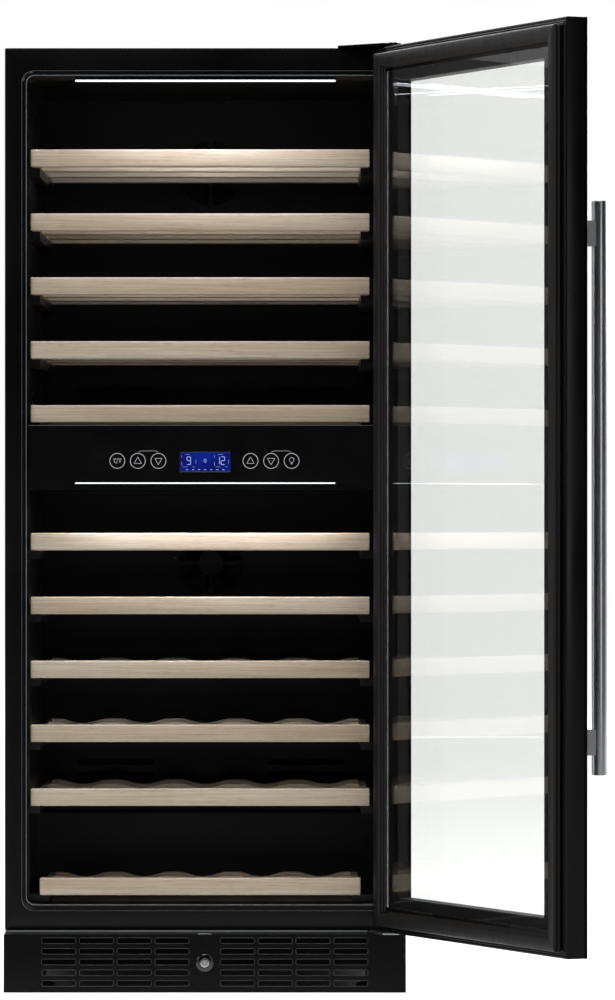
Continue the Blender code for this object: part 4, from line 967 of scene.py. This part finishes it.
def addFan(place):
    # each blade is a sheet over radius and width: its setting angle falls towards the tip and it sweeps forward
    node = f"{place}_fan"
    low, high = corners(node)
    centre = (low + high) / 2
    radius = (high[0] - low[0]) / 2 * 0.985
    hub, depth = duct["hubRadius"] * mm, duct["hubDepth"] * mm
    cap = [(hub * 0.2, -depth / 2 - 0.0006), (hub * 0.8, -depth / 2), (hub * 0.97, -depth / 2 + 0.0012),
           (hub, -depth / 2 + 0.003), (hub, depth / 2 - 0.0008), (hub * 0.96, depth / 2), (hub * 0.3, depth / 2)]
    shapes = [turned(cap, centre, "y", 48)]
    r = np.linspace(hub - 0.003, radius, 12)[:, None]
    w = np.linspace(-1, 1, 9)[None]
    share = (r - r[0]) / (r[-1] - r[0])
    setting = np.radians(duct["bladeTwist"][0] + (duct["bladeTwist"][1] - duct["bladeTwist"][0]) * share)
    chord = duct["bladeChord"] * mm * np.sin(math.pi * (0.28 + 0.5 * share)) * (1 + 0 * w) * 1.1
    along = w * chord * np.cos(setting)
    around = w * chord * np.sin(setting) + duct["bladeSweep"] * radius * share ** 2 * 0.3 + 0 * along
    crown = 0.0014 * (1 - w ** 2)
    half = duct["bladeSheet"] * mm / 2
    radial, limit = np.minimum(r + 0 * w, radius), depth / 2 - 0.0001
    for k in range(duct["blades"]):
        angle = around / r + 2 * math.pi * k / duct["blades"]
        top, under = (np.stack([radial * np.cos(angle), np.clip(along + crown + thick, -limit, limit),
                                radial * np.sin(angle)], -1) + centre
                      for thick in (side * (1 - 0.75 * w ** 8) for side in (half, -half)))
        shapes.append(surface(np.concatenate([top, under[:, ::-1]], 1)))
    addPiece(f"{place}FanRotor", shapes, [fanPlastic], [node], body=node)


def addDuct(zone):
    softened(f"{zone}_duct_panel", f"{zone}DuctCover", 0.5, formedLiner, "liner_black")
    addFan(zone)
    low, high = corners(f"{zone}_evaporator")
    half, inset, tubeInset = duct["finSheet"] * mm / 2, duct["finInset"] * mm, duct["tubeInset"] * mm
    fins = [roundedBar((x - half, low[1], low[2]), (x + half, high[1], high[2]), "z", half / 2, half / 2, 1)
            for x in np.linspace(low[0] + inset, high[0] - inset, duct["fins"])]
    runs, bend = duct["tubeRuns"], []
    heights = np.linspace(low[2] + tubeInset, high[2] - tubeInset, runs)
    turn = np.linspace(-math.pi / 2, math.pi / 2, 7)
    gap = (heights[1] - heights[0]) / 2
    for i, z in enumerate(heights):
        s = 1 if i % 2 == 0 else -1
        reach = (high[0] - low[0]) / 2 - 0.002
        bend += [(-s * (reach - gap), z), (s * (reach - gap), z)]
        if i < runs - 1:
            bend += [(s * (reach - gap + gap * math.cos(t)), z + gap + gap * math.sin(t)) for t in turn[1:-1]]
    middle = (low[1] + high[1]) / 2
    fins.append(tube([(x, middle, z) for x, z in bend], duct["tubeRadius"] * mm, 10, paint=1))
    addPiece(f"{zone}EvaporatorFins", fins, [finStock, copperTube], [f"{zone}_evaporator"])


addDuct("upper")
addDuct("lower")
print("ducts ready")


# machine bay: compressor, condenser, fan, cover, inlet and feet

bay = {"shellSteps": 96, "seatHeight": 11.7, "coilRadius": 3.0, "coilPitch": 30.0, "wires": 9, "wireRadius": 0.8,
       "footRibs": 24, "stemRadius": 5.0, "threadPitch": 1.6, "threadDepth": 0.5}


def addCompressor():
    low, high = corners("compressor")
    centre = ((low[0] + high[0]) / 2, (low[1] + high[1]) / 2)
    radius = (high[1] - low[1]) / 2 - 0.0006
    seat = low[2] + bay["seatHeight"] * mm
    tall = high[2] - seat
    angle = quarterTurn(12)
    dome = [(radius * 0.95 * math.sin(a) ** 0.8, tall * (0.62 + 0.38 * math.cos(a))) for a in angle[1:]]
    bulge = [(radius * r, tall * h) for r, h in ((0.98, 0.605), (1, 0.595), (1, 0.555), (0.98, 0.545))]
    bowl = [(radius * r, tall * h) for r, h in ((0.95, 0.53), (0.945, 0.3), (0.9, 0.12), (0.72, 0.03), (0.4, 0))]
    shapes = [turned(dome + bulge + bowl, (*centre, seat), "z", bay["shellSteps"]),
              roundedBar((low[0], centre[1] - 0.055, low[2]), (high[0], centre[1] + 0.055, low[2] + 0.003), "z",
                         0.012, 0.0006, 6)]
    rubber = [(0.004, 0.0145), (0.009, 0.0140), (0.0095, 0.009), (0.007, 0.0075), (0.007, 0.006), (0.0095, 0.005),
              (0.0095, 0.003)]
    for x in (low[0] + 0.014, high[0] - 0.014):
        for y in (centre[1] - 0.042, centre[1] + 0.042):
            shapes.append(turned(rubber, (x, y, low[2]), "z", 24, paint=1))
            shapes.append(screwHead((x, y, low[2] + 0.0144), "z", 0.0042, 0.0014, paint=2))
    side = centre[0] - radius * 0.93
    shapes.append(roundedBar((side - 0.010, centre[1] - 0.026, seat + 0.05),
                             (side + 0.02, centre[1] + 0.026, seat + 0.10), "z", 0.005, 0.003, 4, paint=1))
    addPiece("compressorShell", shapes, [compressorEnamel, fanPlastic, zincPlate], ["compressor"])


def addCondenser():
    low, high = corners("condenser_coil")
    radius, pitch, wire = (bay[key] * mm for key in ("coilRadius", "coilPitch", "wireRadius"))
    runs = int(round((high[1] - low[1] - 2 * radius) / pitch)) + 1
    half = (high[0] - low[0]) / 2 - pitch / 2 - radius
    z = (low[2] + high[2]) / 2
    turn = np.linspace(-math.pi / 2, math.pi / 2, 13)
    path = []
    for i in range(runs):
        s, y = 1 if i % 2 == 0 else -1, low[1] + radius + i * pitch
        path += [(-s * half, y, z), (s * half * 0.5, y, z), (s * half, y, z)]
        if i < runs - 1:
            path += [(s * (half + pitch / 2 * math.cos(t)), y + pitch / 2 * (1 + math.sin(t)), z) for t in turn[1:-1]]
    shapes = [tube(path, radius, 12)]
    for x in np.linspace(-half, half, bay["wires"]):
        shapes.append(tube([(x, low[1], z + radius + wire), (x, high[1], z + radius + wire)], wire, 6, paint=1))
    addPiece("condenserCoil", shapes, [copperTube, zincPlate], ["condenser_coil"])


def addFeet():
    for place in ("front_left", "front_right", "back_left", "back_right"):
        node = f"foot_{place}"
        low, high = corners(node)
        centre = middleOf(node, z=0)
        radius = (high[0] - low[0]) / 2
        pad = [(radius * 0.2, 0.0100), (radius * 0.55, 0.0098), (radius * 0.8, 0.0088), (radius * 0.94, 0.0078),
               (radius, 0.0062), (radius, 0.0012), (radius * 0.96, 0.0002), (radius * 0.9, 0), (radius * 0.3, 0)]
        points, faces, paint = turned(pad, centre, "z", 96)
        away = points[:, :2] - centre[:2]
        distance = np.linalg.norm(away, axis=1)
        turn = np.arctan2(away[:, 1], away[:, 0])
        grip = 1 - 0.02 * (distance > radius * 0.9) * (0.5 + 0.5 * np.cos(turn * bay["footRibs"]))
        points[:, :2] = centre[:2] + away * grip[:, None]
        stem, pitch, deep = (bay[key] * mm for key in ("stemRadius", "threadPitch", "threadDepth"))
        heights = np.arange(0.0095, high[2] - 0.0006, pitch / 2)
        thread = [(stem - deep * (i % 2), h) for i, h in enumerate(heights)] + [(stem - 0.0012, high[2])]
        addPiece(f"levellingFoot_{place}", [(points, faces, paint), turned(thread, centre, "z", 24, paint=1)],
                 [footRubber, zincPlate], [node], body=node)


def addBayCover():
    softened("bay_cover", "bayCoverSheet", 0.3, galvanised, "zinc_sheet")
    low, high = corners("bay_cover")
    inset = cabinet["screwInset"] * mm
    places = [(x, z) for x in (low[0] + inset, -0.09, 0.09, high[0] - inset)
              for z in (low[2] + 0.010, high[2] - 0.010)]
    addPiece("bayCoverScrews", sheetScrews(places, high[1]), [zincPlate])
    softened("power_inlet", "mainsInletShell", 0.6, fanPlastic, "liner_black")
    low, high = corners("power_inlet")
    middle = (low + high) / 2
    pins = []
    for dx, dz in ((-0.007, -0.002), (0.0, 0.003), (0.007, -0.002)):
        x, z = middle[0] + dx, middle[2] + dz
        pins.append(roundedBar((x - 0.001, high[1] - 0.0212, z - 0.0025), (x + 0.001, high[1] - 0.004, z + 0.0025),
                               "y", 0.0005, 0.0008))
    addPiece("mainsInletPins", pins, [turnedSteel])


addCompressor()
addCondenser()
addFan("condenser")
addFeet()
addBayCover()
print("machine bay ready")


# plinth and lock

plinth = {
    "rim": 1.0, "fromCentre": 23.5, "fromSide": 56.5, "slotGap": 5.8, "slotHeight": 8.0, "slotCorner": 2.5,
    "lowest": 9.6, "underTop": 5.5, "grooveInner": 2.4, "grooveOuter": 4.0, "grooveDepth": 1.8,
}


def addPlinth():
    finishNode("toe_kick", coatedSteel)
    kickLow, kickHigh = corners("toe_kick")
    turn = np.linspace(0, 2 * math.pi, 10, endpoint=False)
    rim, fold = plinth["rim"] * mm, kickLow[1] + plinth["rim"] * mm * 0.55
    inner, outer = plinth["fromCentre"] * mm, kickHigh[0] - plinth["fromSide"] * mm
    wide = (outer - inner - 3 * plinth["slotGap"] * mm) / 4
    rims = []
    slotTall = plinth["slotHeight"] * mm
    for height in np.linspace(plinth["lowest"] * mm, kickHigh[2] - plinth["underTop"] * mm - slotTall, 5):
        for left in inner + np.arange(4) * (wide + plinth["slotGap"] * mm):
            for start in (left, -left - wide):
                rows = [roundedLoop(start - a, start + wide + a, height - a, height + slotTall + a,
                                    plinth["slotCorner"] * mm + a, 4) for a in rim * (np.cos(turn) * 0.5 + 0.35)]
                rims.append(frameOf(rows, fold - rim * np.sin(turn) * 0.75))
    # the rims take the pale rim coat: painted highlights round the slots
    addPiece("plinthSlotRims", rims, [rimPaintedHighlight])
    frameLow, hingeLow = corners("front_frame")[0], corners("lower_hinge")[0]
    # a pale strip fills the gap between plinth and frame: painted light through the gap
    gapStrip = roundedBar((frameLow[0] + 0.0006, frameLow[1] + 0.0006, kickHigh[2] + 0.0003),
                      (hingeLow[0] - 0.002, 0.009, frameLow[2] - 0.0003), "x", 0.0006, 0.0004, 2)
    addPiece("plinthTrimStrip", [gapStrip], [gapPaintedLight])


def addLock():
    low, high = corners("lock_escutcheon")
    centre = middleOf("lock_escutcheon", y=low[1])
    outer, bore, sleeve, deep = (high[0] - low[0]) / 2, 0.0071, 0.0092, high[1] - low[1]
    ring = [(bore, 0.0006), (bore + 0.0006, 0), (bore + 0.0014, 0.0003), (outer * 0.8, 0.0001),
            (outer * 0.93, 0.0005), (outer * 0.985, 0.0013), (outer, 0.0024), (outer, 0.003), (sleeve, 0.003),
            (sleeve, deep), (bore, deep)]
    addPiece("lockRing", [turned(ring, centre, "y", 72, closed=True)], [acrylicPanel],
             ["lock_escutcheon"])
    low, high = corners("lock_barrel")
    centre = middleOf("lock_barrel", y=low[1])
    radius = (high[0] - low[0]) / 2
    inner, wide, deep = (plinth[k] * mm for k in ("grooveInner", "grooveOuter", "grooveDepth"))
    face = [(0.0006, 0), (inner - 0.0002, 0), (inner, 0.0002), (inner, deep), (wide, deep), (wide, 0.0002),
            (wide + 0.0002, 0), (radius - 0.0008, 0), (radius - 0.0002, 0.0003), (radius, 0.0008),
            (radius, high[1] - low[1]), (0.001, high[1] - low[1])]
    shapes = [turned(face, centre, "y", 72)]
    shapes.append(roundedBar((centre[0] - 0.0011, low[1] + 0.0001, centre[2] - wide - 0.0003),
                             (centre[0] + 0.0011, low[1] + deep, centre[2] - inner + 0.0003), "y", 0.0002, 0.0002, 2))
    addPiece("lockBarrel", shapes, [turnedSteel], ["lock_barrel"], body="lock_barrel")
    softened("lock_bolt", "lockBolt", 0.5, turnedSteel, "brushed_steel")


addPlinth()
addLock()
print("plinth ready")


# hinges

hinge = {"plateEdge": 0.7, "pinRadius": 4.0, "screwRadius": 4.5, "screwHeight": 1.8, "screwFromFront": 26.0}


def addHinge(end, finish):
    softened(f"{end}_hinge", f"{end}HingePlate", hinge["plateEdge"], finish, "zinc_sheet", 3)
    low, high = corners(f"{end}_hinge")
    pinLow, pinHigh = corners(f"{end}_hinge_pin")
    centre = middleOf(f"{end}_hinge_pin", z=0)
    r, head = hinge["pinRadius"] * mm, (pinHigh[0] - pinLow[0]) / 2
    if end == "upper":
        top = pinHigh[2]
        profile = [(head * 0.35, top), (head * 0.8, top - 0.0001), (head * 0.97, top - 0.0006), (head, top - 0.0012),
                   (head, top - 0.002), (r, top - 0.002), (r, pinLow[2] + 0.001), (r - 0.001, pinLow[2])]
        size = (hinge["screwRadius"] * mm, hinge["screwHeight"] * mm)
        heads = [screwHead((x, hinge["screwFromFront"] * mm, high[2] + 0.00002), "z", *size)
                 for x in (high[0] - 0.014, high[0] - 0.040, low[0] + 0.014)]
        addPiece("upperHingeScrews", heads, [finish])
    else:
        collar = high[2] + 0.0003
        washer = corners("door_frame")[0][2] - 0.0003
        profile = [(r - 0.001, pinHigh[2]), (r, pinHigh[2] - 0.001), (r, washer), (head - 0.0004, washer),
                   (head, washer - 0.0002), (head, collar + 0.0001), (head - 0.0004, collar), (r, collar),
                   (r, pinLow[2])]
    addPiece(f"{end}HingePin", [turned(profile, centre, "z", 40)], [turnedSteel],
             [f"{end}_hinge_pin"])


addHinge("upper", coatedSteel)
addHinge("lower", zincPlate)
print("hinges ready")


# door, worked out as closed and measured from the hinge axis, then turned to where it stands

door = {
    "rail": 36.5, "outerWindowSide": 65.0, "outerWindowEnd": 51.0,
    "innerWindowSide": 69.5, "innerWindowEnd": 51.0, "sealGap": 0.4, "spacerEnd": 43.0,
    "bead": 1.1, "gasketSide": 15.0, "gasketEnd": 9.5, "barEdge": 1.2,
}
swing = next(joint for joint in frame["joints"] if joint["name"] == "door_swing")
pivot = np.array(swing["pos_m"])
openAngle = -math.radians(swing["range_deg"][0])


def turnDoor(points, angle):
    # x cos - y sin and x sin + y cos about the hinge axis
    x, y = points[..., 0], points[..., 1]
    turnedPoints = points.copy()
    turnedPoints[..., 0] = x * math.cos(angle) - y * math.sin(angle)
    turnedPoints[..., 1] = x * math.sin(angle) + y * math.cos(angle)
    return turnedPoints


def opened(shape):
    # from the closed door's place, measured from the hinge axis, to where the door stands
    points, faces, paint = shape
    return turnDoor(points, openAngle) + (pivot[0], pivot[1], 0), faces, paint


def addDoorPiece(name, shapes, finish, replaced=(), smoothBelow=38):
    addPiece(name, [opened(shape) for shape in shapes], [finish], replaced, smoothBelow, "door")


def closedCorners(node):
    points = turnDoor(nodePoints(node) - (pivot[0], pivot[1], 0), -openAngle)
    return points.min(0), points.max(0)


doorLow, doorHigh = closedCorners("outer_glass")
frameFront, frameBack = (corner[1] for corner in closedCorners("door_frame"))


def edgeLoop(side, end, radius):
    # the door's outline drawn in by so many millimetres at the sides and at the ends
    return roundedLoop(doorLow[0] + side * mm, doorHigh[0] - side * mm, doorLow[2] + end * mm, doorHigh[2] - end * mm,
                       radius, 4)


def doorRing(section, side, end, radius=0.001):
    # a section of points, each an inset in millimetres and a depth, carried round the door
    loops = [edgeLoop(side + inset, end + inset, radius) for inset, depth in section]
    return frameOf(loops, [depth for inset, depth in section])


def addDoorFrame():
    front, back = frameFront, frameBack
    section = [(0.8, front), (0, front + 0.0008), (0, back - 0.0018), (0.5, back - 0.0005), (1.6, back), (3.0, back)]
    # two half-round beads run round the back face in a shallow trough
    section += [(3.8, back - 0.0003), (4.2, back - 0.0010)]
    turn = np.linspace(0, math.pi, 9)
    bead = door["bead"]
    for middle in (5.6, 8.4):
        section += [(middle - bead * math.cos(t), back - 0.0011 + bead * mm * math.sin(t)) for t in turn]
    section += [(9.8, back - 0.0010), (10.2, back - 0.0003), (11.0, back)]
    section += [(14.6, back), (14.8, back - 0.0006), (36.0, back - 0.0006), (36.5, back - 0.0012), (36.5, front)]
    addDoorPiece("doorFrameMoulding", [doorRing(section, 0, 0, 0.0006)], satinAbs, ["door_frame"], 30)
    seal = [(0, front + 0.0002), (0, back - 0.0050), (12.6, back - 0.0050), (12.6, front + 0.0002)]
    sealRing = doorRing(seal, door["rail"] + door["sealGap"], door["rail"] + door["sealGap"], radius=0.0005)
    points = sealRing[0]
    # at the ends it stops where the spacer starts
    nearEnd = (points[:, 2] < doorLow[2] + 0.0496) | (points[:, 2] > doorHigh[2] - 0.0496)
    limit = door["spacerEnd"] * mm - 0.0002
    z, halfway = points[:, 2], (doorLow[2] + doorHigh[2]) / 2
    reached = np.where(z < halfway, np.minimum(z, doorLow[2] + limit), np.maximum(z, doorHigh[2] - limit))
    points[:, 2] = np.where(nearEnd, reached, z)
    addDoorPiece("glazingEdgeSeal", [sealRing], butylSeal)


def addGlass():
    softened("outer_glass", "outerPane", 0.6, floatGlass, "door_glass")
    softened("inner_glass", "innerPane", 0.5, floatGlass, "door_glass")
    softened("glazing_spacer", "glazingSpacer", 0.5, spacerBar, "evaporator_aluminium")
    # the border is fired on behind the outer pane, round its edge, and under the inner pane
    outerFace, paneBack = doorLow[1], doorHigh[1]
    front, back = paneBack + 0.00004, paneBack + 0.00022
    wrap = [(-0.05, front), (-0.05, outerFace + 0.0007), (-0.22, outerFace + 0.0007), (-0.22, back)]
    window = [(door["outerWindowSide"], door["outerWindowEnd"]), (door["innerWindowSide"], door["innerWindowEnd"])]
    loops = [edgeLoop(inset, inset, 0.001) for inset, depth in wrap]
    loops += [edgeLoop(*window[0], 0.003)] * 2
    outerRing = frameOf(loops, [depth for inset, depth in wrap] + [back, front])
    under = closedCorners("inner_glass")[0][1]
    loops = [edgeLoop(door["rail"] + 0.6, door["rail"] + 0.6, 0.001), edgeLoop(*window[1], 0.003)]
    loops += loops[::-1]
    depths = [under - 0.00005, under - 0.00005, under - 0.00020, under - 0.00020]
    addDoorPiece("glassBorderEnamel", [outerRing, frameOf(loops, depths)], ceramicPrint, smoothBelow=20)


def addGasket():
    # hollow bellows seen from outside: a magnet head on two folds each side
    low = frameBack + 0.0003
    section = [(2.2, 0.0), (0.7, 0.9), (0.1, 2.4), (0.5, 3.6), (1.6, 4.4), (1.7, 5.0), (0.6, 5.8), (0.1, 7.2),
               (0.2, 9.4), (1.0, 10.9), (2.6, 11.6), (9.0, 11.7), (16.0, 11.6), (18.2, 11.1), (19.4, 9.8),
               (19.2, 8.6), (18.2, 7.8),
               (18.3, 7.2), (20.0, 6.6), (21.0, 5.4), (20.8, 4.4), (19.8, 3.8), (20.0, 3.2), (21.8, 2.6), (22.8, 1.4),
               (22.2, 0.2), (21.4, 0.0)]
    ring = doorRing([(inset, low + depth * mm * 0.995) for inset, depth in section], door["gasketSide"],
                    door["gasketEnd"])
    addDoorPiece("doorGasketBellows", [ring], gasketVinyl, ["door_gasket"], 50)


def addHandle():
    barLow, barHigh = closedCorners("handle_bar")
    centre = (barLow + barHigh) / 2
    radius, edge = (barHigh[0] - barLow[0]) / 2, door["barEdge"] * mm
    half = (barHigh[2] - barLow[2]) / 2
    angle = quarterTurn(5)
    top = [(0.0008, half - 0.0006), (radius * 0.7, half - 0.0004), (radius * 0.78, half)]
    top += [(radius - edge + edge * math.sin(a), half - edge + edge * math.cos(a)) for a in angle]
    profile = top + [(radius, h) for h in np.linspace(half - edge, -half + edge, 9)[1:-1]]
    profile += [(r, -h) for r, h in top[::-1]]
    addDoorPiece("handleTube", [turned(profile, centre, "z", 96)], brushedBar, ["handle_bar"])
    for end in ("upper", "lower"):
        softened(f"{end}_handle_post", f"{end}HandlePost", 0.7, blastedPost, "brushed_steel")


addDoorFrame()
addGlass()
addGasket()
addHandle()
print("door ready")
